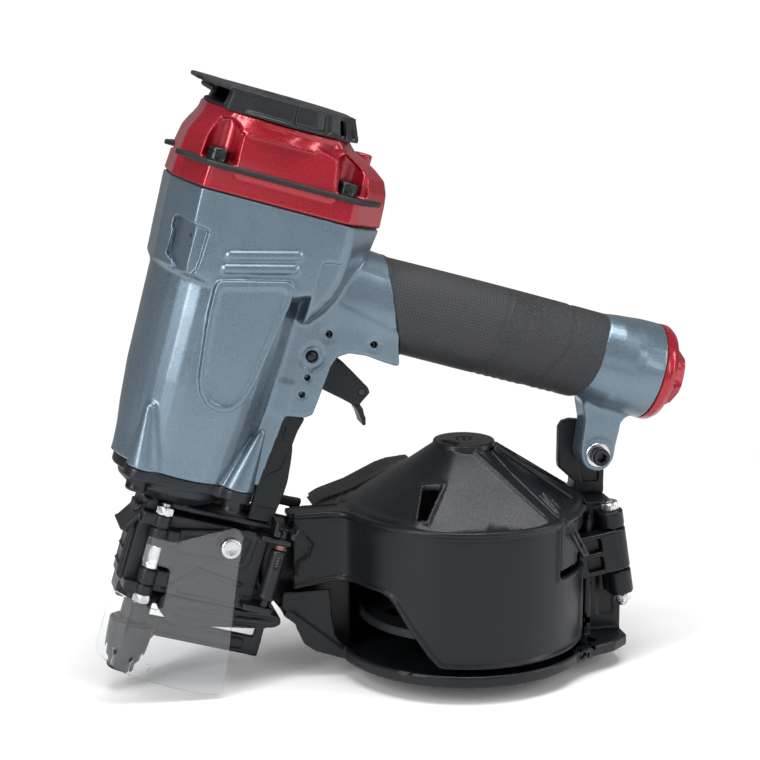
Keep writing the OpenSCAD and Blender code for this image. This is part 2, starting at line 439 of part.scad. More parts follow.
module tray_post() color([0.2, 0.2, 0.2]) { translate([0, 0, 3.1]) cylinder(r = 8, h = 62); translate([0, 0, 1.5]) cylinder(r = 3, h = 3); }
module coil_tray() color([0.15, 0.15, 0.16]) translate([0, 0, tray_z]) difference() {
  union() { cylinder(r = 52, h = 2.2, $fn = 96); translate([0, 0, -3]) cylinder(r = 13, h = 7.8); tube(52, 50, 4.5); }
  translate([0, 0, -10]) cylinder(r = 8 + run, h = 40);
  for (a = [0 : 60 : 300]) rotate([0, 0, a]) translate([32, 0, -1]) cylinder(r = 8, h = 10);
}
module magazine_bracket() color(BLACK) difference() {
  union() { slab(7.7, 12.6, [[61, 73.7], [61, 80], [52, 88], [52, 109], [56, 113], [62, 113], [74, 104], [76.5, 96], [76.4, 73.7]]); box([60.8, 7.7, 73.7], [76.4, 20.8, 77]); }
  translate([67.5, 0, 98]) alongy(0) cylinder(r = 4.1, h = 20);
  for (x = [66, 74]) translate([x, 16.5, 60]) cylinder(r = 1.53, h = 20);
}
module bracket_screws() color("dimgray") for (x = [66, 74]) translate([x, 16.5, 77.05]) { socket_screw(2.3, 2.4, 1.5, 15, 1.3); }
module bracket_bolt() color(BLACK) translate([67.5, -7.6, 98]) rotate([90, 0, 0]) { difference() { union() { cylinder(r = 5.5, h = 1.4); translate([0, 0, 1.3]) cylinder(r = 4.3, h = 6); } translate([0, 0, 4]) cylinder(r = 2.6, h = 6, $fn = 6); } translate([0, 0, -26.5]) cylinder(r = 4, h = 27); }
module bracket_nut() color("dimgray") translate([67.5, 12.7, 98]) rotate([-90, 0, 0]) hexnut(7, 5, 4.02);
module magazine_screws() color("dimgray") drive() for (z = [50, 80]) translate([56, 13.05, z]) rotate([-90, 0, 0]) socket_screw(3.8, 3, 2, 6.8, 1.8);

housing();
cylinder_cap();
cap_gasket();
cap_screws();
skid_plate_left();
skid_plate_right();
exhaust_deflector();
deflector_bolt();
head_valve();
head_valve_spring();
cylinder_sleeve();
main_piston();
piston_ring();
driver_blade();
piston_bumper();
nose_body();
nose_screws();
contact_arm();
contact_tip();
contact_spring();
depth_dial();
arm_cover();
trigger();
trigger_pin();
safety_lever();
lever_pin();
trigger_valve();
trigger_plunger();
trigger_spring();
valve_pins();
grip_sleeve();
end_cap();
inlet_plug();
plug_seal();
nose_door();
door_hinge_bolt();
door_hinge_nuts();
door_spacer();
nose_shield();
shield_rivet();
door_latch();
latch_spring();
feed_piston();
feed_pawl();
pawl_pin();
feed_spring();
feed_cylinder_cap();
magazine_base();
magazine_cover();
cover_hinge_bolt();
cover_hinge_nuts();
coil_tray();
tray_post();
magazine_bracket();
bracket_screws();
bracket_bolt();
bracket_nut();
magazine_screws();
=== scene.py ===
import bpy
import bmesh
import json
import math
import numpy as np
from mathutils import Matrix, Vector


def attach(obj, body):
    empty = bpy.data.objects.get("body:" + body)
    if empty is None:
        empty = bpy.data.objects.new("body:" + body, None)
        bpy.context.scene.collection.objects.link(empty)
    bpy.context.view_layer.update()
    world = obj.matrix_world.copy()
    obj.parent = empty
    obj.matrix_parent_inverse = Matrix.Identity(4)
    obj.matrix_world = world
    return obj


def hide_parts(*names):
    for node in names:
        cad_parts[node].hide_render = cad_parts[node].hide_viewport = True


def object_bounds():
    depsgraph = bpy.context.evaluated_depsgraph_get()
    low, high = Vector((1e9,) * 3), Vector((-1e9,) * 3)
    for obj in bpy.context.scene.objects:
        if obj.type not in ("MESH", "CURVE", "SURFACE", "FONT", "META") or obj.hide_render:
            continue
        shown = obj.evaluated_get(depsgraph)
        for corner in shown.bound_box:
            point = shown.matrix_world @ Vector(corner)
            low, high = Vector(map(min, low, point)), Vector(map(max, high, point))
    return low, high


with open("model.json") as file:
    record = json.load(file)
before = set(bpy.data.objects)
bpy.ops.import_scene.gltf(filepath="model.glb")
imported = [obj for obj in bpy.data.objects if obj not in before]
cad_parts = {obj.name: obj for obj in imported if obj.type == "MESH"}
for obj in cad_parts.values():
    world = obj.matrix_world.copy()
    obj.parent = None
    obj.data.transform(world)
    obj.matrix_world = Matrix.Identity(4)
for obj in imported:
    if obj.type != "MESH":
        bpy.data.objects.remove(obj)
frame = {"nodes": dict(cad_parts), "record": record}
import openvdb
from mathutils import Matrix, Vector

cad_box = [list(c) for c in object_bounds()]
STEP = 1.0                     # grid coarseness factor while trying things
SCENE = bpy.context.scene
TAU = math.radians(16.3)
CO, SI = math.cos(TAU), math.sin(TAU)
# drive-line frame (mm) to the row frame (m), and the row frame in mm to metres
DRIVE = Matrix(((CO, 0, SI, -173.4), (0, 1, 0, 0), (-SI, 0, CO, 2), (0, 0, 0, 1)))
DRIVE = Matrix.Diagonal((0.001, 0.001, 0.001, 1)) @ DRIVE
ROW = Matrix.Diagonal((0.001, 0.001, 0.001, 1))
TILT = math.radians(-9.5)
HINGE = ROW @ Matrix.Translation((75.8, -15, 49.5)) @ Matrix.Rotation(TILT, 4, "Y")


# ------------------------------------------------------------------ solids by signed distance
def smin(a, b, k=0):
    if k <= 0:
        return np.minimum(a, b)
    h = np.maximum(k - np.abs(a - b), 0) / k
    return np.minimum(a, b) - h * h * (k * 0.25)


def smax(a, b, k=0):
    return -smin(-a, -b, k)


class Field:
    """A signed distance sampled on a grid, in millimetres of the frame it is drawn in."""

    def __init__(self, lo, hi, h):
        h *= STEP
        self.h = h
        lo = np.array(lo, float) - 3 * h
        n = np.ceil((np.array(hi, float) + 3 * h - lo) / h).astype(int) + 1
        self.lo = lo
        self.X = (lo[0] + h * np.arange(n[0])).astype(np.float32)[:, None, None]
        self.Y = (lo[1] + h * np.arange(n[1])).astype(np.float32)[None, :, None]
        self.Z = (lo[2] + h * np.arange(n[2])).astype(np.float32)[None, None, :]
        self.d = np.full(n, 60, np.float32)

    def win(self, lo, hi, pad=3.0):
        """index window that covers the box lo..hi with room around it"""
        s = []
        for ax, (a, b) in enumerate(zip(lo, hi)):
            n = self.d.shape[ax]
            i = 0 if a is None else int(max(0, math.floor((a - pad - self.lo[ax]) / self.h)))
            j = n if b is None else int(min(n, math.ceil((b + pad - self.lo[ax]) / self.h) + 1))
            s.append(slice(i, max(j, i + 1)))
        return tuple(s)

    def at(self, w):
        return self.X[w[0]], self.Y[:, w[1]], self.Z[:, :, w[2]]

    def op(self, fn, k=0.0, how="add", lo=(None,) * 3, hi=(None,) * 3, sym=False, pad=3.0):
        w = self.win(lo, hi, pad + k) if lo[0] is not None or lo[1] is not None or lo[2] is not None or hi[0] is not None or hi[1] is not None or hi[2] is not None else (slice(None),) * 3
        x, y, z = self.at(w)
        v = fn(x, np.abs(y) if sym else y, z)
        cur = self.d[w]
        if how == "add":
            self.d[w] = smin(cur, v, k)
        elif how == "cut":
            self.d[w] = smax(cur, -v, k)
        else:
            self.d[w] = smax(cur, v, k)

    def add(self, fn, k=0.0, **kw):
        self.op(fn, k, "add", **kw)

    def cut(self, fn, k=0.0, **kw):
        self.op(fn, k, "cut", **kw)

    def clip(self, fn, k=0.0, **kw):
        self.op(fn, k, "clip", **kw)

    def mesh(self, name, matrix, keep=1.0, smooth_iter=0):
        h = self.h
        band = 3.0 * h
        g = openvdb.FloatGrid(band)
        g.copyFromArray(np.clip(self.d, -band, band).astype(np.float32))
        g.gridClass = openvdb.GridClass.LEVEL_SET
        pts, tris, quads = g.convertToPolygons(isovalue=0.0, adaptivity=0.0)
        pts = np.asarray(pts, float) * h + self.lo
        me = bpy.data.meshes.new(name)
        faces = [tuple(int(i) for i in q[::-1]) for q in quads] + [tuple(int(i) for i in t[::-1]) for t in tris]
        me.from_pydata([tuple(p) for p in pts], [], faces)
        me.update()
        ob = bpy.data.objects.new(name, me)
        SCENE.collection.objects.link(ob)
        bm = bmesh.new()
        bm.from_mesh(me)
        # crumbs smaller than a few voxels aren't part of the piece
        seen = set()
        for v in bm.verts:
            if v.index in seen:
                continue
            stack, group = [v], []
            seen.add(v.index)
            while stack:
                a = stack.pop()
                group.append(a)
                for e in a.link_edges:
                    b = e.other_vert(a)
                    if b.index not in seen:
                        seen.add(b.index)
                        stack.append(b)
            if len(group) < 40:
                bmesh.ops.delete(bm, geom=group, context="VERTS")
        bmesh.ops.recalc_face_normals(bm, faces=bm.faces)
        if smooth_iter:
            for _ in range(smooth_iter):
                bmesh.ops.smooth_vert(bm, verts=bm.verts, factor=0.4, use_axis_x=True, use_axis_y=True, use_axis_z=True)
        bm.to_mesh(me)
        bm.free()
        me.transform(matrix)
        for p in me.polygons:
            p.use_smooth = True
        if keep < 1.0:
            m = ob.modifiers.new("lighter", "DECIMATE")
            m.ratio = keep
            bake(ob)
            for p in ob.data.polygons:
                p.use_smooth = True
        return ob


def bake(ob):
    dg = bpy.context.evaluated_depsgraph_get()
    me = bpy.data.meshes.new_from_object(ob.evaluated_get(dg))
    ob.modifiers.clear()
    ob.data = me
    return ob


def inset_poly(pts, r):
    """the outline moved inwards by r, corner for corner"""
    p = np.array(pts, float)
    n = len(p)
    area = 0.5 * np.sum(p[:, 0] * np.roll(p[:, 1], -1) - np.roll(p[:, 0], -1) * p[:, 1])
    s = 1.0 if area > 0 else -1.0
    out = []
    for i in range(n):
        a, b, c = p[i - 1], p[i], p[(i + 1) % n]
        e1 = (b - a) / max(np.linalg.norm(b - a), 1e-9)
        e2 = (c - b) / max(np.linalg.norm(c - b), 1e-9)
        n1, n2 = s * np.array([-e1[1], e1[0]]), s * np.array([-e2[1], e2[0]])
        m = n1 + n2
        q = max(m @ n1, 0.35)
        out.append(b + m * (r / q))
    return np.array(out)


def poly(u, v, pts, r=0.0):
    """signed distance to a closed outline, with its corners rounded by r"""
    p = inset_poly(pts, r) if r else np.array(pts, float)
    u, v = np.broadcast_arrays(u, v)
    d = np.full(u.shape, 1e9, np.float32)
    sgn = np.ones(u.shape, bool)
    n = len(p)
    for i in range(n):
        j = i - 1
        vi, vj = p[i], p[j]
        ex, ey = vj - vi
        wx, wy = u - vi[0], v - vi[1]
        t = np.clip((wx * ex + wy * ey) / max(ex * ex + ey * ey, 1e-12), 0, 1)
        bx, by = wx - ex * t, wy - ey * t
        d = np.minimum(d, bx * bx + by * by)
        c1, c2, c3 = v >= vi[1], v < vj[1], ex * wy > ey * wx
        flip = (c1 & c2 & c3) | (~c1 & ~c2 & ~c3)
        sgn ^= flip
    return (np.where(sgn, 1.0, -1.0) * np.sqrt(d) - r).astype(np.float32)


def prism(d2, w, half, r=0.0):
    """outline distance d2 given a thickness: |w| <= half, with its rims rounded by r"""
    a, b = d2 + r, np.abs(w) - half + r
    return np.minimum(np.maximum(a, b), 0) + np.sqrt(np.maximum(a, 0) ** 2 + np.maximum(b, 0) ** 2) - r


def slab(pts, y0, y1, r=0.5, rc=0.0):
    """an outline in X-Z between y0 and y1"""
    return lambda x, y, z: prism(poly(x, z, pts, rc), y - (y0 + y1) / 2, (y1 - y0) / 2, r)


def plan(pts, z0, z1, r=0.5, rc=0.0):
    """an outline in X-Y between z0 and z1"""
    return lambda x, y, z: prism(poly(x, y, pts, rc), z - (z0 + z1) / 2, (z1 - z0) / 2, r)


def box(a, b, r=0.4):
    c, h = [(p + q) / 2 for p, q in zip(a, b)], [abs(q - p) / 2 for p, q in zip(a, b)]

    def fn(x, y, z):
        qx, qy, qz = np.abs(x - c[0]) - h[0] + r, np.abs(y - c[1]) - h[1] + r, np.abs(z - c[2]) - h[2] + r
        return np.minimum(np.maximum(np.maximum(qx, qy), qz), 0) + np.sqrt(np.maximum(qx, 0) ** 2 + np.maximum(qy, 0) ** 2 + np.maximum(qz, 0) ** 2) - r
    return fn


def cyl(axis, c, rad, a, b, r=0.3):
    """round bar along an axis ('x','y','z'), through c in the other two coordinates, from a to b"""
    def fn(x, y, z):
        p = {"x": (y, z, x), "y": (x, z, y), "z": (x, y, z)}[axis]
        return prism(np.hypot(p[0] - c[0], p[1] - c[1]) - rad, p[2] - (a + b) / 2, (b - a) / 2, r)
    return fn


def ball_cone(a, b, r1, r2):
    """a tapering bar with round ends"""
    a, b = np.array(a, float), np.array(b, float)
    ab = b - a
    L2 = float(ab @ ab)

    def fn(x, y, z):
        t = np.clip(((x - a[0]) * ab[0] + (y - a[1]) * ab[1] + (z - a[2]) * ab[2]) / L2, 0, 1)
        return np.sqrt((x - a[0] - ab[0] * t) ** 2 + (y - a[1] - ab[1] * t) ** 2 + (z - a[2] - ab[2] * t) ** 2) - (r1 + (r2 - r1) * t)
    return fn


def turned(axis, c, pts, rc=0.0):
    """an outline (radius, along) turned round an axis"""
    def fn(x, y, z):
        p = {"x": (y, z, x), "y": (x, z, y), "z": (x, y, z)}[axis]
        q = np.hypot(p[0] - c[0], p[1] - c[1])
        return poly(q, p[2], pts, rc)
    return fn


def loft(axis, stations, rc=0.0):
    """outlines at stations along an axis, blended straight between them"""
    ts = [s[0] for s in stations]
    P = np.array([s[1] for s in stations], float)

    def fn(x, y, z):
        if axis == "z":
            w, u, v = z.ravel(), x, y
            out = np.empty((x.shape[0], y.shape[1], z.shape[2]), np.float32)
        else:
            w, u, v = x.ravel(), y, z
            out = np.empty((x.shape[0], y.shape[1], z.shape[2]), np.float32)
        for i, t in enumerate(w):
            tt = min(max(float(t), ts[0]), ts[-1])
            j = max(0, min(len(ts) - 2, int(np.searchsorted(ts, tt) - 1)))
            f = (tt - ts[j]) / (ts[j + 1] - ts[j])
            pts = P[j] * (1 - f) + P[j + 1] * f
            if axis == "z":
                out[:, :, i] = poly(u[:, :, 0], v[:, :, 0], pts, rc)
            else:
                out[i, :, :] = poly(u[0], v[0], pts, rc)
        return out
    return fn


def between(axis, a, b):
    def fn(x, y, z):
        p = {"x": x, "y": y, "z": z}[axis]
        return np.abs(p - (a + b) / 2) - (b - a) / 2
    return fn


def both(f, g, k=0.0):
    return lambda x, y, z: smax(f(x, y, z), g(x, y, z), k)


def less(f, g, k=0.0):
    return lambda x, y, z: smax(f(x, y, z), -g(x, y, z), k)


def either(f, g, k=0.0):
    return lambda x, y, z: smin(f(x, y, z), g(x, y, z), k)


# ------------------------------------------------------------------ pieces by mesh code
def from_bm(name, bm, matrix=None, smooth=35.0):
    me = bpy.data.meshes.new(name)
    bmesh.ops.recalc_face_normals(bm, faces=bm.faces)
    bm.to_mesh(me)
    bm.free()
    if matrix is not None:
        me.transform(matrix)
        if matrix.determinant() < 0:
            me.flip_normals()
    ob = bpy.data.objects.new(name, me)
    SCENE.collection.objects.link(ob)
    for p in me.polygons:
        p.use_smooth = True
    if smooth:
        me.set_sharp_from_angle(angle=math.radians(smooth))
    return ob


def lathe(bm, prof, seg=48, m=Matrix.Identity(4), closed=False):
    """turns a profile of (radius, height) round Z; a radius of zero closes to a point"""
    rings = []
    for r, h in prof:
        if r < 1e-6:
            rings.append([bm.verts.new(m @ Vector((0, 0, h)))])
        else:
            rings.append([bm.verts.new(m @ Vector((r * math.cos(2 * math.pi * i / seg), r * math.sin(2 * math.pi * i / seg), h))) for i in range(seg)])
    pairs = list(zip(rings, rings[1:])) + ([(rings[-1], rings[0])] if closed else [])
    for a, b in pairs:
        for i in range(seg):
            j = (i + 1) % seg
            if len(a) == 1 and len(b) == 1:
                continue
            if len(a) == 1:
                bm.faces.new((a[0], b[i], b[j]))
            elif len(b) == 1:
                bm.faces.new((a[i], b[0], a[j]))
            else:
                bm.faces.new((a[i], b[i], b[j], a[j]))
    return rings


def socket_head(bm, r, h, key, m, knurl=0, shank=0.0, shank_l=0.0, seg=48):
    """a cap screw standing on z=0 with its head up to z=h: a knurled side, a rounded rim and a hexagon recess"""
    n = seg
    fl = 0.55 * h

    def ring(rad, z, wob=0.0, hexa=False):
        out = []
        for i in range(n):
            a = 2 * math.pi * i / n
            q = rad
            if hexa:
                b = (a % (math.pi / 3)) - math.pi / 6
                q = rad * math.cos(math.pi / 6) / math.cos(b)
            elif wob:
                q = rad - (wob if i % 2 else 0.0)
            out.append(bm.verts.new(m @ Vector((q * math.cos(a), q * math.sin(a), z))))
        return out
    w = 0.16 if knurl else 0.0
    rows = []
    if shank:
        rows += [ring(shank * 0.86, -shank_l), ring(shank, -shank_l + shank * 0.3), ring(shank, 0)]
    rows += [ring(r * 0.9 if not shank else r * 0.9, 0), ring(r, 0.25), ring(r, 0.35, w), ring(r, h * 0.72, w), ring(r, h * 0.76), ring(r * 0.97, h * 0.93), ring(r * 0.9, h),
             ring(key * 1.22, h), ring(key * 1.06, h * 0.97, hexa=True), ring(key, h * 0.9, hexa=True), ring(key, h - fl, hexa=True)]
    for a, b in zip(rows, rows[1:]):
        for i in range(n):
            bm.faces.new((a[i], b[i], b[(i + 1) % n], a[(i + 1) % n]))
    bm.faces.new(rows[-1])
    bm.faces.new(rows[0][::-1])


def hex_nut(bm, r, h, bore, m):
    """a chamfered hexagon nut from z=0 to z=h"""
    n = 48

    def ring(rad, z, hexa):
        out = []
        for i in range(n):
            a = 2 * math.pi * i / n
            q = rad
            if hexa is not None:
                b = (a % (math.pi / 3)) - math.pi / 6
                q = min(r * math.cos(math.pi / 6) / math.cos(b), hexa)
            out.append(bm.verts.new(m @ Vector((q * math.cos(a), q * math.sin(a), z))))
        return out
    flat = r * math.cos(math.pi / 6)
    rows = [ring(bore * 1.12, 0, None), ring(0, 0, flat * 0.98), ring(0, 0.12 * h, r), ring(0, 0.88 * h, r), ring(0, h, flat * 0.98), ring(bore * 1.12, h, None), ring(bore, h - 0.3, None), ring(bore, 0.3, None)]
    for a, b in zip(rows, rows[1:] + rows[:1]):
        for i in range(n):
            bm.faces.new((a[i], b[i], b[(i + 1) % n], a[(i + 1) % n]))


def outline_solid(bm, pts, z0, z1, m=Matrix.Identity(4)):
    a = [bm.verts.new(m @ Vector((p[0], p[1], z0))) for p in pts]
    b = [bm.verts.new(m @ Vector((p[0], p[1], z1))) for p in pts]
    n = len(pts)
    for i in range(n):
        bm.faces.new((a[i], a[(i + 1) % n], b[(i + 1) % n], b[i]))
    bm.faces.new(a[::-1])
    bm.faces.new(b)


def bevel(ob, w, seg=3, angle=35):
    m = ob.modifiers.new("edges", "BEVEL")
    m.width = w
    m.segments = seg
    m.limit_method = "ANGLE"
    m.angle_limit = math.radians(angle)
    m.harden_normals = False
    bake(ob)
    for p in ob.data.polygons:
        p.use_smooth = True
    ob.data.set_sharp_from_angle(angle=math.radians(50))
    return ob


def wire(name, pts, r, matrix, closed=False):
    cu = bpy.data.curves.new(name, "CURVE")
    cu.dimensions = "3D"
    cu.bevel_depth = r
    cu.bevel_resolution = 4
    cu.use_fill_caps = True
    sp = cu.splines.new("POLY")
    sp.points.add(len(pts) - 1)
    for q, p in zip(sp.points, pts):
        q.co = (*p, 1)
    sp.use_cyclic_u = closed
    ob = bpy.data.objects.new(name, cu)
    SCENE.collection.objects.link(ob)
    bpy.context.view_layer.update()
    me = bpy.data.meshes.new_from_object(ob.evaluated_get(bpy.context.evaluated_depsgraph_get()))
    bpy.data.objects.remove(ob)
    me.transform(matrix)
    o2 = bpy.data.objects.new(name, me)
    SCENE.collection.objects.link(o2)
    for p in me.polygons:
        p.use_smooth = True
    return o2


# ------------------------------------------------------------------ materials
MATS = {}


class Mat:
    def __init__(self, name):
        self.m = bpy.data.materials.new(name)
        self.m.use_nodes = True
        self.t = self.m.node_tree
        self.t.nodes.clear()
        self.out = self.t.nodes.new("ShaderNodeOutputMaterial")
        self.b = self.t.nodes.new("ShaderNodeBsdfPrincipled")
        self.t.links.new(self.b.outputs[0], self.out.inputs[0])
        self.co = self.t.nodes.new("ShaderNodeTexCoord").outputs["Object"]
        MATS[name] = self.m

    def n(self, kind, **kw):
        node = self.t.nodes.new(kind)
        for k, v in kw.items():
            setattr(node, k, v)
        return node

    def link(self, a, b):
        self.t.links.new(a, b)

    def set(self, **kw):
        for k, v in kw.items():
            self.b.inputs[k.replace("_", " ")].default_value = v

    def noise(self, scale, detail=3.0, rough=0.5, vec=None):
        t = self.n("ShaderNodeTexNoise")
        t.inputs["Scale"].default_value = scale
        t.inputs["Detail"].default_value = detail
        t.inputs["Roughness"].default_value = rough
        self.link(vec or self.co, t.inputs["Vector"])
        return t.outputs["Fac"]

    def cells(self, scale, feature="F1", out="Distance", vec=None, rnd=1.0):
        t = self.n("ShaderNodeTexVoronoi", feature=feature)
        t.inputs["Scale"].default_value = scale
        t.inputs["Randomness"].default_value = rnd
        self.link(vec or self.co, t.inputs["Vector"])
        return t.outputs[out]

    def ramp(self, fac, stops):
        r = self.n("ShaderNodeValToRGB")
        el = r.color_ramp.elements
        while len(el) > len(stops):
            el.remove(el[-1])
        while len(el) < len(stops):
            el.new(0.5)
        for e, (p, c) in zip(el, stops):
            e.position = p
            e.color = (c, c, c, 1) if isinstance(c, (int, float)) else (*c, 1)
        self.link(fac, r.inputs[0])
        return r.outputs[0]

    def mapr(self, fac, a, b, c, d):
        r = self.n("ShaderNodeMapRange")
        for i, v in zip((1, 2, 3, 4), (a, b, c, d)):
            r.inputs[i].default_value = v
        self.link(fac, r.inputs[0])
        return r.outputs[0]

    def math(self, op, a, b=None):
        r = self.n("ShaderNodeMath", operation=op)
        for i, v in enumerate((a, b)):
            if v is None:
                continue
            if isinstance(v, (int, float)):
                r.inputs[i].default_value = v
            else:
                self.link(v, r.inputs[i])
        return r.outputs[0]

    def mix(self, fac, a, b, kind="MIX"):
        r = self.n("ShaderNodeMix", data_type="RGBA", blend_type=kind)
        for i, v in ((0, fac), (6, a), (7, b)):
            if isinstance(v, (int, float)):
                r.inputs[i].default_value = v
            elif isinstance(v, tuple):
                r.inputs[i].default_value = (*v, 1)
            else:
                self.link(v, r.inputs[i])
        return r.outputs[2]

    def bump(self, height, strength, dist, after=None):
        r = self.n("ShaderNodeBump")
        r.inputs["Strength"].default_value = strength
        r.inputs["Distance"].default_value = dist
        self.link(height, r.inputs["Height"])
        if after is not None:
            self.link(after, r.inputs["Normal"])
        self.link(r.outputs[0], self.b.inputs["Normal"])
        return r.outputs[0]

    def edge(self, lo=0.52, hi=0.6):
        """1 along convex edges, for wear"""
        g = self.n("ShaderNodeNewGeometry")
        return self.mapr(g.outputs["Pointiness"], lo, hi, 0, 1)


def paint(name, base, dark, metallic, rough, coat=0.5, flake=1.0):
    """metallic lacquer over a casting: flakes in the colour, a little orange peel"""
    m = Mat(name)
    m.set(Metallic=metallic, Coat_Weight=coat, Coat_Roughness=0.12, Coat_IOR=1.5)
    fl = m.cells(2600, out="Color")
    bw = m.n("ShaderNodeRGBToBW")
    m.link(fl, bw.inputs[0])
    soft = m.noise(55, 4, 0.55)
    c = m.mix(m.mapr(bw.outputs[0], 0.15, 0.85, 0.25, 0.85), dark, base)
    c = m.mix(m.mapr(soft, 0.35, 0.7, 0.0, 0.16), c, tuple(min(1, x * 1.3) for x in base))
    m.link(c, m.b.inputs["Base Color"])
    sm = m.noise(28, 5, 0.6)
    r = m.math("ADD", m.mapr(bw.outputs[0], 0, 1, rough - 0.07, rough + 0.09), m.mapr(sm, 0.3, 0.7, -0.035, 0.045))
    m.link(r, m.b.inputs["Roughness"])
    n1 = m.bump(bw.outputs[0], 0.10 * flake, 0.00008)
    m.bump(m.noise(260, 2, 0.5), 0.09, 0.0002, n1)
    return m.m


def plastic(name, base, rough, grain=900, bump=0.25, dist=0.00012, worn=0.35, spec=0.5):
    """moulded black plastic: fine spark-eroded grain, slight flow shading, rubbed edges"""
    m = Mat(name)
    m.set(Specular_IOR_Level=spec)
    a = m.noise(grain, 3, 0.6)
    b = m.noise(38, 4, 0.55)
    lift = tuple(x * 2.1 + 0.004 for x in base)
    c = m.mix(m.mapr(b, 0.35, 0.7, 0, 1), base, tuple(x * 1.35 for x in base))
    c = m.mix(m.math("MULTIPLY", m.edge(0.53, 0.62), worn), c, lift)
    m.link(c, m.b.inputs["Base Color"])
    r = m.math("ADD", m.mapr(a, 0.3, 0.7, rough - 0.06, rough + 0.08), m.mapr(b, 0.3, 0.7, -0.04, 0.05))
    m.link(r, m.b.inputs["Roughness"])
    m.bump(a, bump, dist)
    return m.m


def steel(name, base, rough, metallic=1.0, scale=160, bump=0.12, stain=0.25, dist=0.00008, dark=None):
    """plated or blackened steel: fine machining grain, cloudy tone, brighter edges"""
    m = Mat(name)
    m.set(Metallic=metallic)
    a = m.noise(scale * 6, 3, 0.65)
    b = m.noise(scale * 0.5, 5, 0.6)
    dk = dark or tuple(x * 0.62 for x in base)
    c = m.mix(m.mapr(b, 0.3, 0.72, 0, stain * 2), base, dk)
    c = m.mix(m.math("MULTIPLY", m.edge(0.53, 0.6), 0.35), c, tuple(min(1, x * 1.5 + 0.03) for x in base))
    m.link(c, m.b.inputs["Base Color"])
    r = m.math("ADD", m.mapr(a, 0.3, 0.7, rough - 0.06, rough + 0.07), m.mapr(b, 0.3, 0.7, -0.06, 0.08))
    m.link(r, m.b.inputs["Roughness"])
    m.bump(a, bump, dist)
    return m.m


def drive_axes(m):
    """the coordinates of the drive-line frame, in metres, as three outputs"""
    mp = m.n("ShaderNodeMapping", vector_type="POINT")
    mp.inputs["Location"].default_value = (0.1734 * CO + 0.002 * SI, 0, 0.1734 * SI - 0.002 * CO)
    mp.inputs["Rotation"].default_value = (0, -TAU, 0)
    m.link(m.co, mp.inputs["Vector"])
    s = m.n("ShaderNodeSeparateXYZ")
    m.link(mp.outputs[0], s.inputs[0])
    return mp.outputs[0], s.outputs


# colours are linear
PAINT = paint("grey_blue_lacquer", (0.150, 0.206, 0.256), (0.088, 0.124, 0.158), 0.7, 0.33, 0.3)
RED = paint("red_lacquer", (0.36, 0.0055, 0.019), (0.20, 0.003, 0.011), 0.45, 0.28, 0.4)
PLAST = plastic("black_moulding", (0.0052, 0.0062, 0.0080), 0.33, 1100, 0.22, spec=0.25)
PLAST2 = plastic("black_grained_moulding", (0.0075, 0.0085, 0.0105), 0.40, 700, 0.5, 0.00018, spec=0.30)
DARK = plastic("black_rubber_plate", (0.008, 0.009, 0.010), 0.5, 800, 0.4, spec=0.35)
PHOS = steel("phosphated_steel", (0.030, 0.032, 0.037), 0.38, 0.8, 150, 0.3)
BLUED = steel("black_oxide_screw", (0.032, 0.033, 0.036), 0.32, 0.9, 300, 0.2)
ZINC = steel("zinc_plate", (0.55, 0.56, 0.58), 0.27, 1.0, 200, 0.12)
CHROME = steel("ground_steel", (0.62, 0.63, 0.65), 0.16, 1.0, 240, 0.06, 0.12)
CAST = steel("bare_casting", (0.42, 0.44, 0.46), 0.45, 0.9, 120, 0.4, dist=0.00015)
SPRING = steel("spring_wire", (0.36, 0.2, 0.16), 0.3, 0.9, 260, 0.1)
RUBBER = plastic("black_rubber", (0.014, 0.014, 0.015), 0.62, 500, 0.35)
BUFF = plastic("ivory_moulding", (0.55, 0.5, 0.4), 0.45, 600, 0.2, worn=0.1)


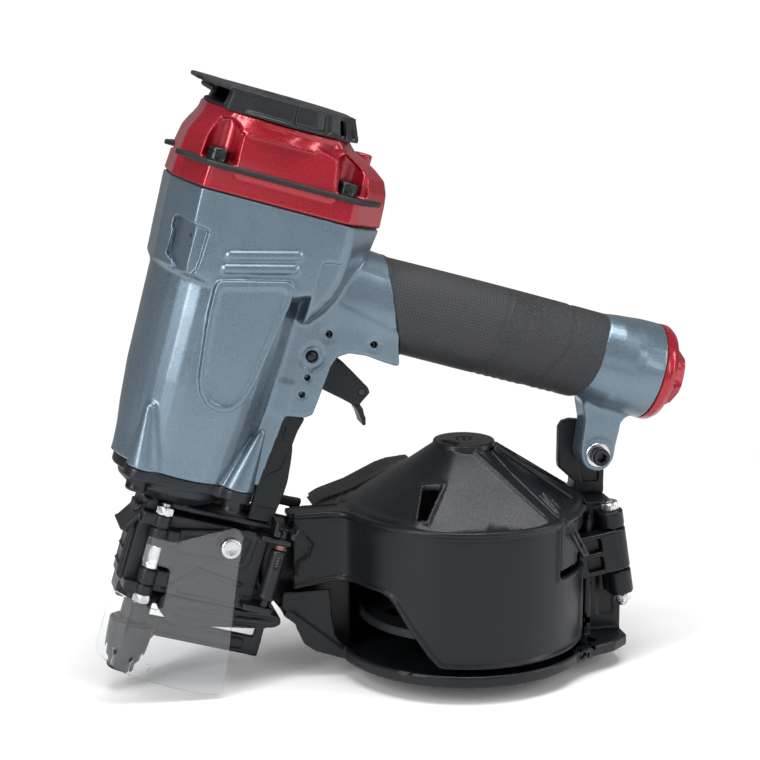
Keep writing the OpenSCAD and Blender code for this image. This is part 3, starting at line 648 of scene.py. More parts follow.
def grip_material():
    m = Mat("grip_rubber")
    m.set(Specular_IOR_Level=0.42)
    vec, o = drive_axes(m)
    # the grid of small raised squares follows the bar and its girth
    ang = m.math("ARCTAN2", o[1], m.math("SUBTRACT", o[2], 0.2062))
    u = m.math("MULTIPLY", o[0], 2 * math.pi / 0.00165)
    v = m.math("MULTIPLY", ang, 2 * math.pi * 0.0205 / 0.00165 / (2 * math.pi) * (2 * math.pi))
    v = m.math("MULTIPLY", ang, round(2 * math.pi * 0.0205 / 0.00165))
    dots = m.math("MULTIPLY", m.math("ADD", m.math("SINE", u), 1.0), m.math("ADD", m.math("SINE", v), 1.0))
    dots = m.mapr(dots, 0.9, 2.2, 0, 1)
    # zones in side view: dots in front, leather grain behind a smooth band
    zz = m.math("SUBTRACT", o[2], 0.2062)
    # boundary line x = f(z): leans back towards the top
    xb = m.math("ADD", m.math("MULTIPLY", m.math("SMOOTH_MIN", zz, 0.006), 0.45), 0.1685)
    d = m.math("SUBTRACT", o[0], xb)
    rear = m.mapr(d, 0.0008, 0.0014, 0, 1)
    band = m.math("MULTIPLY", m.mapr(d, -0.0022, -0.0016, 0, 1), m.math("SUBTRACT", 1.0, rear))
    low = m.mapr(m.math("ADD", zz, m.math("MULTIPLY", m.math("SUBTRACT", o[0], 0.14), 0.10)), -0.0158, -0.0152, 1, 0)
    front = m.math("MULTIPLY", m.math("SUBTRACT", 1.0, rear), m.math("SUBTRACT", 1.0, band))
    front = m.math("MULTIPLY", front, m.math("SUBTRACT", 1.0, low))
    crack = m.cells(760, "DISTANCE_TO_EDGE", "Distance")
    leather = m.math("MULTIPLY", m.mapr(crack, 0.0, 0.16, 0, 1), rear)
    fine = m.noise(2400, 2, 0.5)
    h = m.math("ADD", m.math("MULTIPLY", dots, front), m.math("MULTIPLY", leather, 0.7))
    h = m.math("ADD", h, m.math("MULTIPLY", fine, 0.08))
    soft = m.noise(40, 4, 0.5)
    c = m.mix(m.mapr(soft, 0.3, 0.7, 0, 1), (0.016, 0.017, 0.019), (0.023, 0.024, 0.027))
    c = m.mix(m.math("MULTIPLY", m.math("MULTIPLY", dots, front), 0.75), c, (0.047, 0.049, 0.053))
    m.link(c, m.b.inputs["Base Color"])
    r = m.math("ADD", m.mapr(soft, 0.3, 0.7, 0.5, 0.6), m.math("MULTIPLY", front, 0.05))
    m.link(r, m.b.inputs["Roughness"])
    m.bump(h, 0.8, 0.00035)
    return m.m


GRIP = grip_material()


def clear_material():
    m = Mat("clear_polycarbonate")
    m.set(Base_Color=(0.90, 0.912, 0.925, 1), Transmission_Weight=1.0, IOR=1.06, Coat_Weight=1.0, Coat_Roughness=0.04, Coat_IOR=1.5)
    a = m.noise(60, 4, 0.6)
    m.link(m.mapr(a, 0.3, 0.7, 0.02, 0.09), m.b.inputs["Roughness"])
    # scuffs: hair lines and a light haze
    mp = m.n("ShaderNodeMapping")
    mp.inputs["Scale"].default_value = (900, 900, 60)
    m.link(m.co, mp.inputs[0])
    n = m.noise(1.0, 2, 0.5, mp.outputs[0])
    m.bump(n, 0.02, 0.00002)
    return m.m


CLEAR = clear_material()


def done(ob, body, mat, slot, *stands_for):
    ob.data.materials.clear()
    ob.data.materials.append(mat)
    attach(ob, body)
    if stands_for:
        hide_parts(*stands_for)
    return ob


# ------------------------------------------------------------------ power unit (drive-line frame)
def ellipse(a, b, n=40, x0=0.0):
    return [(x0 + a * math.cos(2 * math.pi * i / n), b * math.sin(2 * math.pi * i / n)) for i in range(n)]


def sym(pts):
    """closes a half outline given for y <= 0 with its mirror image"""
    return list(pts) + [(x, -y) for x, y in reversed(pts)]


BLOCK = [  # z, outline of the upper block for y <= 0, front to rear
    (190, sym([(-38.5, -11), (-27.2, -32.5), (30, -32.5), (33, -31), (39.8, -16)])),
    (198, sym([(-39.2, -11.5), (-27.8, -33.6), (34, -33.6), (39.5, -31), (46.6, -16)])),
    (205, sym([(-39.5, -12), (-28.2, -34.2), (37.5, -34.2), (43.5, -31), (50.3, -16)])),
    (213, sym([(-40, -12), (-28.5, -34.3), (40, -34.3), (46, -31), (53, -15.5)])),
    (223, sym([(-40.6, -12), (-28.8, -34.4), (42, -34.4), (47, -31), (56.5, -15)])),
    (231, sym([(-41, -12), (-29.1, -34.4), (42, -34.4), (46.5, -31.5), (60, -14.2)])),
    (241, sym([(-41.6, -12), (-29.6, -34.2), (41.4, -34.2), (45.2, -31.5), (61.3, -14)])),
]
SHIELD_OUT = [(-11.0, 201.9), (21.0, 209.6), (24.4, 207.4), (24.2, 198.6), (18.6, 158.1), (15.8, 148.9), (11.6, 143.7), (6.4, 142.0), (-0.5, 143.3), (-5.4, 148.6), (-7.9, 155.8), (-11.3, 182.2), (-12.0, 198.0)]
SHIELD_IN = [(-8.3, 198.6), (19.0, 205.4), (21.2, 203.8), (21.3, 196.5), (15.8, 159.2), (13.3, 150.6), (10.1, 146.6), (6.0, 145.1), (0.7, 146.0), (-3.0, 150.3), (-5.2, 156.6), (-8.4, 182.4), (-9.0, 196.5)]


def build_housing():
    f = Field((-45, -38, 104), (222, 38, 241.1), 0.8)
    # round lower barrel
    f.add(loft("z", [(104, ellipse(32.0, 32.2)), (118, ellipse(32.8, 32.8)), (130, ellipse(34.4, 33.8)), (150, ellipse(36.2, 35.0)), (182, ellipse(37.4, 35.4)), (204, ellipse(38.2, 35.0)), (212, ellipse(38.2, 33))]), lo=(-45, None, 104), hi=(45, None, 212))
    # upper block with its corners
    blk = loft("z", BLOCK, 2.6)
    # its underside slopes back to the barrel; behind x = 34 it runs down to a point along the arc
    und = lambda x, y, z: np.minimum((200.2 - z) * 0.8 + 0.45 * (np.hypot(x, y) - 38.5), np.maximum(33.9 - x, 190 - z))
    f.add(lambda x, y, z: smax(smax(blk(x, y, z), und(x, y, z), 1.2), z - 241.0, 0), 1.6, lo=(-45, None, 186), hi=(64, None, None))
    # shallow inset face behind the panel, with a thin step in front of it and above it
    f.cut(slab([(34.6, 180), (34.6, 220.6), (36.2, 222.3), (46.5, 222.9), (70, 223), (70, 180)], 33.1, 44, 0.2, 0.6), 0.3, lo=(33, None, 178), hi=(70, None, 226), sym=True)
    # neck of the handle
    oval = lambda a, b: [(a * math.copysign(abs(math.cos(t)) ** 0.82, math.cos(t)), 206.2 + b * math.sin(t)) for t in [2 * math.pi * (i + 0.5) / 44 for i in range(44)]]
    neck = loft("x", [(20, oval(17.5, 24)), (52, oval(17.6, 24.2)), (70, oval(17.9, 22.6)), (92, oval(18.6, 22.2))])
    f.add(lambda x, y, z: smax(smax(neck(x, y, z), 30 - x), (x - 89.9 + (z - 180) * 0.385), 0.5), 2.2, lo=(28, None, 176), hi=(93, None, 236))
    # bar inside the grip
    f.add(cyl("x", (0, 206.2), 15.4, 60, 196, 0.5), 0, lo=(60, None, 188), hi=(196, None, 224))
    # cheeks round the trigger
    cheek = [(20, 192), (20, 150), (38, 143.4), (41.7, 143.6), (50.8, 144.9), (54.5, 147.4), (55.7, 160.4), (56.6, 172), (58.6, 177.6), (63.3, 180.6), (72, 181.4), (82.0, 180.3), (89.6, 180.0), (84, 196), (40, 205)]
    f.add(slab(cheek, -16.8, 16.8, 0.9, 1.4), 2.4, lo=(18, None, 140), hi=(92, None, 208))
    # two strips that run down beside the arm's cover
    f.add(slab([(20, 160), (20, 107), (35.7, 107.6), (38.2, 107.9), (41.8, 145), (41, 160)], -16.8, 16.8, 0.5), 1.6, lo=(18, None, 104), hi=(44, None, 162))
    # bosses of the nose screws, tapering up the barrel
    f.add(ball_cone((-24.6, 26.2, 134.5), (-19.8, 24.6, 104), 2.4, 8.6), 2.6, lo=(-32, None, 104), hi=(-8, None, 142), sym=True)
    f.add(ball_cone((31.2, 22.6, 134.5), (26.2, 24.3, 104), 1.9, 8.4), 2.2, lo=(14, None, 104), hi=(38, None, 142), sym=True)
    # shield shaped panel with a raised rim
    f.add(slab(SHIELD_OUT, 20, 36.9, 0.7, 2.0), 0.5, lo=(-14, None, 139), hi=(27, None, 213), sym=True)
    f.cut(slab(SHIELD_IN, 36.05, 44, 0.3, 2.0), 0.5, lo=(-14, None, 139), hi=(27, None, 213), sym=True)
    f.cut(less(slab([(p[0], p[1]) for p in inset_poly(SHIELD_OUT, 0.95)], 36.55, 44, 0.1, 1.0), lambda x, y, z: poly(x, z, inset_poly(SHIELD_OUT, 1.55), 0.6), 0), 0.35, lo=(-14, None, 139), hi=(27, None, 213), sym=True)
    # two ribs above it
    for a, b in (((-8.6, 214.3), (22.0, 221.9)), ((-8.9, 207.9), (22.0, 215.4))):
        f.add(ball_cone((a[0], 33.2, a[1]), (b[0], 33.2, b[1]), 2.75, 2.75), 0.8, lo=(-14, None, 204), hi=(27, None, 226), sym=True)
    # pocket on the front corner: two flat faces meeting in an inner edge
    inner = loft("z", [(z, [((x * 0.925 if abs(x) < 60 else x) - 0.2, y * 0.915) for x, y in p]) for z, p in BLOCK], 0.2)
    pocket = slab([(-35.6, 225.0), (-21.2, 223.0), (-21.9, 204.6), (-26.2, 196.6), (-35.0, 206.6)], 18, 44, 0.5, 0.9)
    f.cut(lambda x, y, z: smax(pocket(x, y, z), -inner(x, y, z), 0.25), 0.5, lo=(-46, None, 193), hi=(-18, None, 229), sym=True)
    # barrel's bore, seen from the seam and from the nose
    f.cut(cyl("z", (0, 0), 26.9, 100, 245, 0.1), 0, lo=(-30, -30, None), hi=(30, 30, None))
    f.cut(cyl("z", (0, 0), 30.8, 198, 245, 0.1), 0, lo=(-34, -34, 195), hi=(34, 34, None))
    # trigger slot and the arm cover's slot
    f.cut(box((40.5, -8.8, 120), (96, 8.8, 182.4), 0.5), 0.3, lo=(38, -12, 120), hi=(98, 12, 185))
    f.cut(box((36.4, -13.8, 90), (60, 13.8, 145.2), 0.3), 0.2, lo=(34, -16, 104), hi=(60, 16, 148))
    f.cut(box((48, -8.2, 181), (76, 8.2, 196.2), 0.2), 0, lo=(46, -12, 178), hi=(78, 12, 199))
    # counterbores and pins' holes in the cheeks
    for (x0, z0), R, r in (((51.2, 187.3), 3.7, 1.75), ((74.2, 187.5), 3.3, 1.75), ((46.9, 164.4), 0, 1.55), ((46.7, 155.8), 0, 1.55)):
        if R:
            f.cut(cyl("y", (x0, z0), R, 16.4, 30, 0.1), 0.3, lo=(x0 - 6, None, z0 - 6), hi=(x0 + 6, None, z0 + 6), sym=True)
            f.add(less(cyl("y", (x0, z0), R * 0.72, 12, 17.1, 0.2), cyl("y", (x0, z0), r, 10, 40, 0.1)), 0.1, lo=(x0 - 6, None, z0 - 6), hi=(x0 + 6, None, z0 + 6), sym=True)
        f.cut(cyl("y", (x0, z0), r, 9.5 if R else 12, 30, 0.1), 0.15, lo=(x0 - 6, None, z0 - 6), hi=(x0 + 6, None, z0 + 6), sym=True)
    # keyhole recess round the trigger's pin
    key = either(cyl("y", (46.4, 175.0), 5.9, 16.1, 30, 0.1), slab([(43.6, 181.6), (48.6, 181.6), (48.2, 176), (48.2, 167.2), (45.4, 166.9), (44.6, 172)], 16.1, 30, 0.1, 0.5), 0.8)
    f.cut(key, 0.35, lo=(37, None, 163), hi=(56, None, 185), sym=True)
    f.add(less(cyl("y", (46.2, 175.0), 4.3, 10, 16.9, 0.25), cyl("y", (46.2, 175.0), 3.3, 8, 40, 0.1)), 0.2, lo=(40, None, 168), hi=(52, None, 182), sym=True)
    f.cut(cyl("y", (46.2, 175.0), 2.56, 0, 40, 0.1), 0, lo=(40, None, 168), hi=(52, None, 182), sym=True)
    # rear casting: from the grip's slanted end to a round tail
    circ = lambda r: [(r * math.cos(2 * math.pi * (i + 0.5) / 44), 206.2 + r * math.sin(2 * math.pi * (i + 0.5) / 44)) for i in range(44)]
    tail = loft("x", [(176, oval(15.4, 19.4)), (184, oval(17.3, 21.0)), (190, oval(19.2, 22.2)), (197, oval(21.6, 23.1)), (204, circ(23.8)), (209, circ(24.3)), (219.5, circ(24.3))])
    f.add(lambda x, y, z: smax(smax(tail(x, y, z), 182.2 + (z - 183.7) * 0.166 - x, 0.4), x - 219.4, 0.5), 0.4, lo=(174, None, 178), hi=(222, None, 234))
    f.cut(lambda x, y, z: np.hypot(np.hypot(y, z - 206.2) - 24.9, x - 209.6) - 0.75, 0.25, lo=(205, None, 178), hi=(214, None, 234))
    f.cut(cyl("x", (0, 206.2), 16.9, 203, 230, 0.2), 0, lo=(200, -20, 186), hi=(222, 20, 226))
    # lug that carries the magazine
    lug = [(186.5, 192), (189.5, 181.5), (193.2, 174), (194.6, 164.5), (195.6, 158.5), (199.6, 153.0), (206.5, 151.4), (211.4, 154.6), (213.0, 160.5), (212.2, 170), (211.6, 178), (214, 184), (214, 192)]
    f.add(slab(lug, -7.5, 7.5, 1.0, 3.0), 3.2, lo=(180, -20, 148), hi=(222, 20, 196))
    f.add(cyl("y", (204.3, 159.7), 8.6, -7.6, 7.6, 0.5), 0.8, lo=(190, -14, 146), hi=(216, 14, 172))
    f.cut(cyl("y", (204.3, 159.7), 4.1, -20, 20, 0.1), 0.2, lo=(196, -14, 150), hi=(212, 14, 168))
    # open below the flange, threaded holes hidden by their screws
    for x0, y0 in ((-20.5, 24), (26.6, 24)):
        f.cut(cyl("z", (x0, y0), 3.05, 90, 115.5, 0.1), 0, lo=(x0 - 4, None, 104), hi=(x0 + 4, None, 118), sym=True)
    f.clip(lambda x, y, z: 106.0 - z + 0 * x + 0 * y, 0.3, lo=(None, None, 100), hi=(None, None, 112))
    return done(f.mesh("housing_casting", DRIVE, 0.8, 1), "gun", PAINT, "body_paint", "housing")


CAP_PLAN = sym([(-41.6, -12), (-29.6, -34.4), (41.4, -34.4), (45.2, -31.7), (61.5, -14)])


def shrink(pts, i):
    return [tuple(p) for p in inset_poly(pts, i)]


def build_cap():
    f = Field((-46, -40, 241), (64, 40, 280), 0.65)
    ring = ellipse(35.6, 33.6, 10, 1.2)
    base = CAP_PLAN
    mid = shrink(CAP_PLAN, 2.2)

    def morph(t, a):
        """the outline at a share t between the cap's plan and the round neck under the deflector"""
        out = []
        for x, y in a:
            q = math.hypot(x - 1.5, y)
            out.append(((x - 1.5) / q * 36.2 * t + (x) * (1 - t) + 1.5 * t, y / q * 34.4 * t + y * (1 - t)))
        return out

    body = loft("z", [(241, base), (253, shrink(CAP_PLAN, 0.7)), (258.5, shrink(CAP_PLAN, 1.5)), (264, shrink(morph(0.08, CAP_PLAN), 1.8)), (268, morph(0.3, shrink(CAP_PLAN, 2.5))), (271, morph(0.52, shrink(CAP_PLAN, 3.4))), (274, morph(0.82, shrink(CAP_PLAN, 3.0))), (278, morph(1.0, CAP_PLAN))], 3.0)
    f.add(lambda x, y, z: smax(smax(body(x, y, z), z - 277.9, 0.6), 241.75 - z, 0.5))
    # round neck with a hollow fillet under it
    f.add(turned("z", (1.5, 0), [(0, 270), (36.6, 270), (35.4, 273), (34.9, 275.2), (35.3, 277.9), (0, 277.9)], 0.3), 2.2, lo=(-42, None, 266), hi=(42, None, 281))
    # bulging panel on each side between the screw pockets
    panel = [(-16.8, 250), (-17.4, 268.6), (-14.5, 271.6), (-4.8, 272.9), (9.8, 273.3), (22, 271.4), (28.8, 269.6), (31.6, 250)]
    f.add(both(slab(panel, 14, 34.9, 1.2, 2.4), lambda x, y, z: y - 34.8 + 0.16 * np.maximum(z - 254, 0), 1.0), 1.0, lo=(-22, None, 246), hi=(36, None, 277), sym=True)
    # pockets of the screws, open outwards and upwards
    for c, rim in (((-25.5, 27.5), [(-35.2, 254.6), (-33.6, 269.8), (-30, 273.2), (-22.6, 274.8), (-18.9, 271.6), (-17.4, 254.6)]), ((37.5, 27), [(32.4, 254.6), (30.2, 270.4), (33.2, 272.6), (45.9, 265.6), (48.0, 254.6)])):
        well = cyl("z", c, 7.0, 254.7, 285, 0.4)
        gap = slab(rim, c[1] - 1.5, 50, 0.6, 1.6)
        f.cut(lambda x, y, z: smin(smax(well(x, y, z), poly(x, z, rim, 1.6) + 0 * y, 1.0), gap(x, y, z), 1.2), 0.9, lo=(c[0] - 14, None, 250), hi=(c[0] + 14, None, 279), sym=True)
    # groove that the side strip sits in
    f.cut(lambda x, y, z: np.maximum(-poly(x, y, shrink(CAP_PLAN, 3.6), 1.0), np.abs(z - 253.3) - 1.35) + 0 * x, 0.15, lo=(None, 10, 250), hi=(None, None, 257), sym=True)
    f.cut(cyl("z", (0, 0), 26, 238, 266, 0.2), 0, lo=(-28, -28, None), hi=(28, 28, 268))
    for a in range(30, 360, 60):
        f.cut(cyl("z", (14 * math.cos(math.radians(a)), 14 * math.sin(math.radians(a))), 4.5, 260, 290, 0.2), 0, lo=(-22, -22, 258), hi=(22, 22, None))
    f.cut(cyl("z", (0, 0), 3.03, 258, 290, 0.1), 0, lo=(-6, -6, 256), hi=(6, 6, None))
    # small boss at the far rear, where the sling ring would screw in
    f.add(both(cyl("z", (52.2, 20), 4.6, 256, 272.5, 0.8), lambda x, y, z: -y, 0), 1.5, lo=(44, 10, 250), hi=(60, 30, 276))
    for c in ((-25.5, 27.5), (37.5, 27)):
        f.cut(cyl("z", c, 3.05, 240, 262, 0.1), 0, lo=(c[0] - 5, None, None), hi=(c[0] + 5, None, 262), sym=True)
    return done(f.mesh("cylinder_cap_casting", DRIVE, 0.7, 1), "gun", RED, "red_paint", "cylinder_cap")


def build_skids():
    pts = [(-44, -18), (-40.5, -24), (-30.6, -35.6), (-27, -36.9), (38.5, -36.9), (42.5, -36.2), (46.4, -33), (57.2, -20.5), (56.5, -18.4), (50, -18), (36, -24), (31, -22), (31, -30.8), (-18, -30.8), (-18, -21), (-26, -20), (-38, -17)]
    for s, nm in ((1, "left"), (-1, "right")):
        f = Field((-46, -38.5, 250), (59, -15, 258), 0.42)
        f.add(plan(pts, 252.05, 254.55, 0.55, 0.8))
        # a bead along the outer edge
        f.add(lambda x, y, z: np.maximum(np.hypot(poly(x, y, pts, 0.8) + 0.75, z - 253.3) - 1.28, y + 24) + 0 * x, 0.4)
        for c in ((-25.5, -27.5), (37.5, -27)):
            f.cut(cyl("z", c, 3.05, 250, 258, 0.1), 0.1)
        m = DRIVE @ Matrix.Diagonal((1, s, 1, 1))
        ob = f.mesh("side_strip_" + nm, m, 0.5)
        if s < 0:
            ob.data.flip_normals()
        done(ob, "gun", DARK, "black_plastic", "skid_plate_" + nm)


def build_screws():
    bm = bmesh.new()
    for x0, y0 in ((-25.5, 27.5), (37.5, 27)):
        for s in (-1, 1):
            m = DRIVE @ Matrix.Translation((x0, s * y0, 254.62)) @ Matrix.Rotation(0.3 * s + x0, 4, "Z")
            socket_head(bm, 5.0, 5.8, 2.55, m, 1, 2.95, 38)
    done(from_bm("cap_screws_socket", bm, None, 40), "gun", BLUED, "black_screw", "cap_screws")
    bm = bmesh.new()
    for x0, y0 in ((-20.5, 24), (26.6, 24)):
        for s in (-1, 1):
            m = DRIVE @ Matrix.Translation((x0, s * y0, 100.3)) @ Matrix.Rotation(math.pi, 4, "X") @ Matrix.Rotation(0.2 * s, 4, "Z")
            socket_head(bm, 5.25, 5.9, 2.7, m, 1, 2.95, 14.5)
    done(from_bm("nose_screws_socket", bm, None, 40), "gun", BLUED, "black_screw", "nose_screws")


def build_deflector():
    f = Field((-44, -37, 277), (42, 37, 290), 0.55)
    side = sym([(-26.6, -25.6), (-11, -28.6), (14, -28.4), (28.6, -23.2), (36.9, -12)])
    rim = [(0, 278.25), (36.2, 278.25), (36.4, 279.2), (35.6, 280.2), (0, 280.2)]
    f.add(turned("z", (2.6, 0), rim, 0.3))
    skirt = loft("z", [(279.5, [(x * 1.07 + 0.6, y * 1.07) for x, y in side]), (288.2, [(x * 0.985, y * 0.985) for x, y in side])], 2.2)
    shell = lambda x, y, z: smax(skirt(x, y, z), np.abs(z - 283.2) - 5.3, 0.8)
    f.add(lambda x, y, z: smax(shell(x, y, z), -smax(skirt(x, y, z) + 2.3, z - 286.3), 0.3), 0.6)
    # flutes on the rear of the skirt
    for k in range(9):
        a = math.radians(-62 + 15.5 * k)
        cx, cy = 3 + 38.6 * math.cos(a), 33.0 * math.sin(a)
        f.cut(ball_cone((cx, cy, 280.6), (cx - 2.2 * math.cos(a), cy - 2.2 * math.sin(a), 289), 2.0, 2.2), 0.5, lo=(cx - 5, cy - 5, 279), hi=(cx + 5, cy + 5, None))
    # cover plate with its spout
    top = sym([(-41.6, -10), (-39.8, -14.6), (-27.4, -25.8), (-11, -28.2), (14, -28), (28.6, -22.8), (36.6, -11)])
    lip = lambda x, y, z: prism(poly(x, y, top, 1.4), z - (287.75 + 0.045 * np.maximum(-24 - x, 0)) - 0 * y, 1.05, 0.5)
    f.add(lip, 0.5)
    f.cut(box((-60, -19.5, 280.3), (-18, 19.5, 286.6), 1.5), 0.4)
    f.add(ball_cone((-33.6, -12.5, 285.2), (-33.6, 12.5, 285.2), 1.5, 1.5), 0.8)
    f.add(cyl("z", (0, 0), 9, 278.3, 286.5, 0.2), 0.4)
    f.add(less(cyl("z", (0, 0), 11.5, 286, 289.2, 0.6), cyl("z", (0, 0), 7.2, 284.4, 295, 0.2)), 0.8)
    f.cut(less(cyl("z", (0, 0), 22, 270, 281.5, 0.2), cyl("z", (0, 0), 9, 270, 290, 0.2)))
    f.cut(cyl("z", (0, 0), 4.06, 270, 295, 0.1))
    f.cut(cyl("z", (0, 0), 7.2, 284.4, 295, 0.1))
    # small oval vents in the top
    for s in (-1, 1):
        for x0 in (-17, -5.5, 6.5, 18):
            a = ball_cone((x0 - 3.4, s * (17.5 - abs(x0) * 0.12), 288.9), (x0 + 3.4, s * (17.0 - abs(x0) * 0.12), 288.9), 1.5, 1.5)
            f.cut(a, 0.3, lo=(x0 - 8, None, 286), hi=(x0 + 8, None, None))
    f.cut(lambda x, y, z: np.maximum(np.abs(x - 4.2) - 0.22, np.abs(z - 283.5) - 4.6) + 0 * y + np.where(np.abs(y) > 25.6, 0, 5), 0.1)
    return done(f.mesh("exhaust_deflector_moulding", DRIVE, 0.6), "deflector", PLAST2, "black_plastic", "exhaust_deflector")


def build_deflector_bolt():
    bm = bmesh.new()
    m = DRIVE @ Matrix.Translation((0, 0, 284.72))
    socket_head(bm, 6.7, 3.3, 2.9, m, 1, 3.95, 7.4)
    lathe(bm, [(0, -16.6), (2.5, -16.6), (2.95, -16.1), (2.95, -7.2), (0, -7.2)], 40, m)
    done(from_bm("deflector_bolt_socket", bm, None, 40), "gun", BLUED, "dark_pin", "deflector_bolt")


def build_grip():
    """the rubber sleeve: an oval tube, slanted at both ends, swelling a little in the palm, with rolled rims"""
    NA = 96
    NX = 110

    def ovalp(t, a, b):
        return a * math.copysign(abs(math.cos(t)) ** 0.9, math.cos(t)), b * math.sin(t)
    bm = bmesh.new()
    rows = []

    def ring(s, grow, t0=None):
        out = []
        for i in range(NA):
            t = 2 * math.pi * i / NA
            y, z = ovalp(t, 18.6 + grow, 22.15 + grow)
            zt = z
            xf = 79.4 - zt * 0.45 + 0.0                       # front rim leans with the neck
            xr = 185.8 + zt * 0.165 + 3.2 * (1 - (zt / 22.2) ** 2)
            if zt > 0:
                xr = min(xr, 189.8)
            x = xf + (xr - xf) * s
            # palm swell and a slimmer waist behind the neck
            q = math.sin(math.pi * min(max((s - 0.06) / 0.9, 0), 1))
            k = 1 + 0.018 * q * (1 if z > 0 else 0.6)
            out.append(bm.verts.new(DRIVE @ Vector((x, y * k, 206.2 + z * k))))
        return out
    S = [i / NX for i in range(NX + 1)]
    rows.append(ring(0.0, -2.9))
    rows.append(ring(0.0, -0.2))
    for s in S:
        g = 0.0
        d0, d1 = s * 105, (1 - s) * 105
        if d0 < 2.4:
            g = 0.5 * math.sin(math.pi * min(d0 / 2.4, 1)) + 0.15
        if d1 < 1.2:
            g = -0.35 * (1 - d1 / 1.2)
        rows.append(ring(s, g))
    rows.append(ring(1.0, -0.7))
    rows.append(ring(1.0, -2.9))
    for a, b in zip(rows, rows[1:] + rows[:1]):
        for i in range(NA):
            j = (i + 1) % NA
            bm.faces.new((a[i], a[j], b[j], b[i]))
    ob = from_bm("grip_sleeve_rubber", bm, None, 60)
    # sunk line between the two textures, and ribs under the palm
    me = ob.data
    inv = DRIVE.inverted()
    out = DRIVE.to_3x3().normalized()
    co = np.array([inv @ v.co for v in me.vertices])
    nr = np.array([v.normal for v in me.vertices])
    me.update()
    x, y, z = co[:, 0], co[:, 1], co[:, 2] - 206.2
    xb = np.minimum(z, 6.0) * 0.45 + 168.0
    d = np.abs(x - xb)
    sink = -0.8 * np.exp(-(d / 0.9) ** 2)
    outside = np.hypot(y / 18.6, z / 22.2) > 0.93
    low = (z < -13.5) & (x > 128) & (x < 176)
    rib = np.where(low, -0.32 * (0.5 + 0.5 * np.cos((x + z * 0.6) * 2 * math.pi / 4.2)) * np.clip((-13.5 - z) / 2.5, 0, 1), 0)
    mv = (sink + rib) * outside * 0.001
    new = np.array([v.co for v in me.vertices]) + nr * mv[:, None]
    me.vertices.foreach_set("co", new.astype(np.float32).ravel())
    me.update()
    return done(ob, "gun", GRIP, "grip_rubber", "grip_sleeve")


def build_tail():
    m = DRIVE @ Matrix.Translation((219.6, 0, 206.2)) @ Matrix.Rotation(math.pi / 2, 4, "Y")
    bm = bmesh.new()
    lathe(bm, [(10.06, -8), (16.85, -8), (16.9, 0.0), (23.9, 0.0), (24.35, 0.35), (24.4, 1.0), (24.4, 3.2), (24.2, 3.9), (22.7, 6.2), (22.0, 6.5), (19.6, 6.5), (18.9, 6.1), (16.6, 6.1), (16.0, 6.5), (10.5, 6.5), (10.06, 6.1)], 96, m, closed=True)
    done(from_bm("end_cap_ring", bm, None, 32), "gun", RED, "red_paint", "end_cap")
    # threaded hexagon bush: barrelled hexagon with a chamfered face and a threaded bore
    bm = bmesh.new()
    n = 72

    def ring(z, r, hexa):
        out = []
        for i in range(n):
            a = 2 * math.pi * i / n + math.pi / 6
            q = r
            if hexa:
                b = ((a + math.pi / 6) % (math.pi / 3)) - math.pi / 6
                q = min(12.65 / math.cos(b), r)
            out.append(bm.verts.new(m @ Matrix.Rotation(math.radians(14), 4, "Z") @ Vector((q * math.cos(a), q * math.sin(a), z))))
        return out
    rows = [ring(-12.6, 4.1, 0), ring(-12.6, 9.2, 0), ring(-11.9, 9.95, 0), ring(6.62, 9.98, 0), ring(6.64, 13.4, 0), ring(7.3, 14.5, 1), ring(13.2, 14.5, 1), ring(14.4, 13.5, 1), ring(14.85, 12.1, 0), ring(14.95, 11.4, 0), ring(14.95, 6.6, 0), ring(14.1, 5.6, 0)]
    t = 14.1
    while t > -2.0:                                        # thread as closed ridges
        rows += [ring(t - 0.35, 5.55, 0), ring(t - 0.55, 6.0, 0), ring(t - 0.8, 6.0, 0), ring(t - 1.0, 5.55, 0)]
        t -= 1.25
    rows += [ring(-2.6, 5.5, 0), ring(-2.6, 4.1, 0)]
    for a, b in zip(rows, rows[1:] + rows[:1]):
        for i in range(n):
            bm.faces.new((a[i], b[i], b[(i + 1) % n], a[(i + 1) % n]))
    done(from_bm("inlet_bush_hexagon", bm, None, 32), "gun", RED, "red_anodised", "inlet_plug")
    # trigger pin with domed ends, and the valve's spring pins
    bm = bmesh.new()
    lathe(bm, [(0, -17.3), (1.2, -17.2), (2.2, -16.7), (2.5, -16.1), (2.5, 16.1), (2.2, 16.7), (1.2, 17.2), (0, 17.3)], 40, DRIVE @ Matrix.Translation((46, 0, 175)) @ Matrix.Rotation(math.pi / 2, 4, "X"))
    done(from_bm("trigger_pin_domed", bm, None, 50), "gun", BLUED, "dark_pin", "trigger_pin")
    bm = bmesh.new()
    for x0, z0 in ((50.8, 187), (73.4, 187.2)):
        lathe(bm, [(0.8, -15.2), (1.35, -15.2), (1.57, -14.7), (1.57, 14.7), (1.35, 15.2), (0.8, 15.2), (0.75, 14.8), (0.75, -14.8)], 32, DRIVE @ Matrix.Translation((x0, 0, z0)) @ Matrix.Rotation(math.pi / 2, 4, "X"), closed=True)
    done(from_bm("valve_spring_pins", bm, None, 50), "gun", BLUED, "dark_pin", "valve_pins")


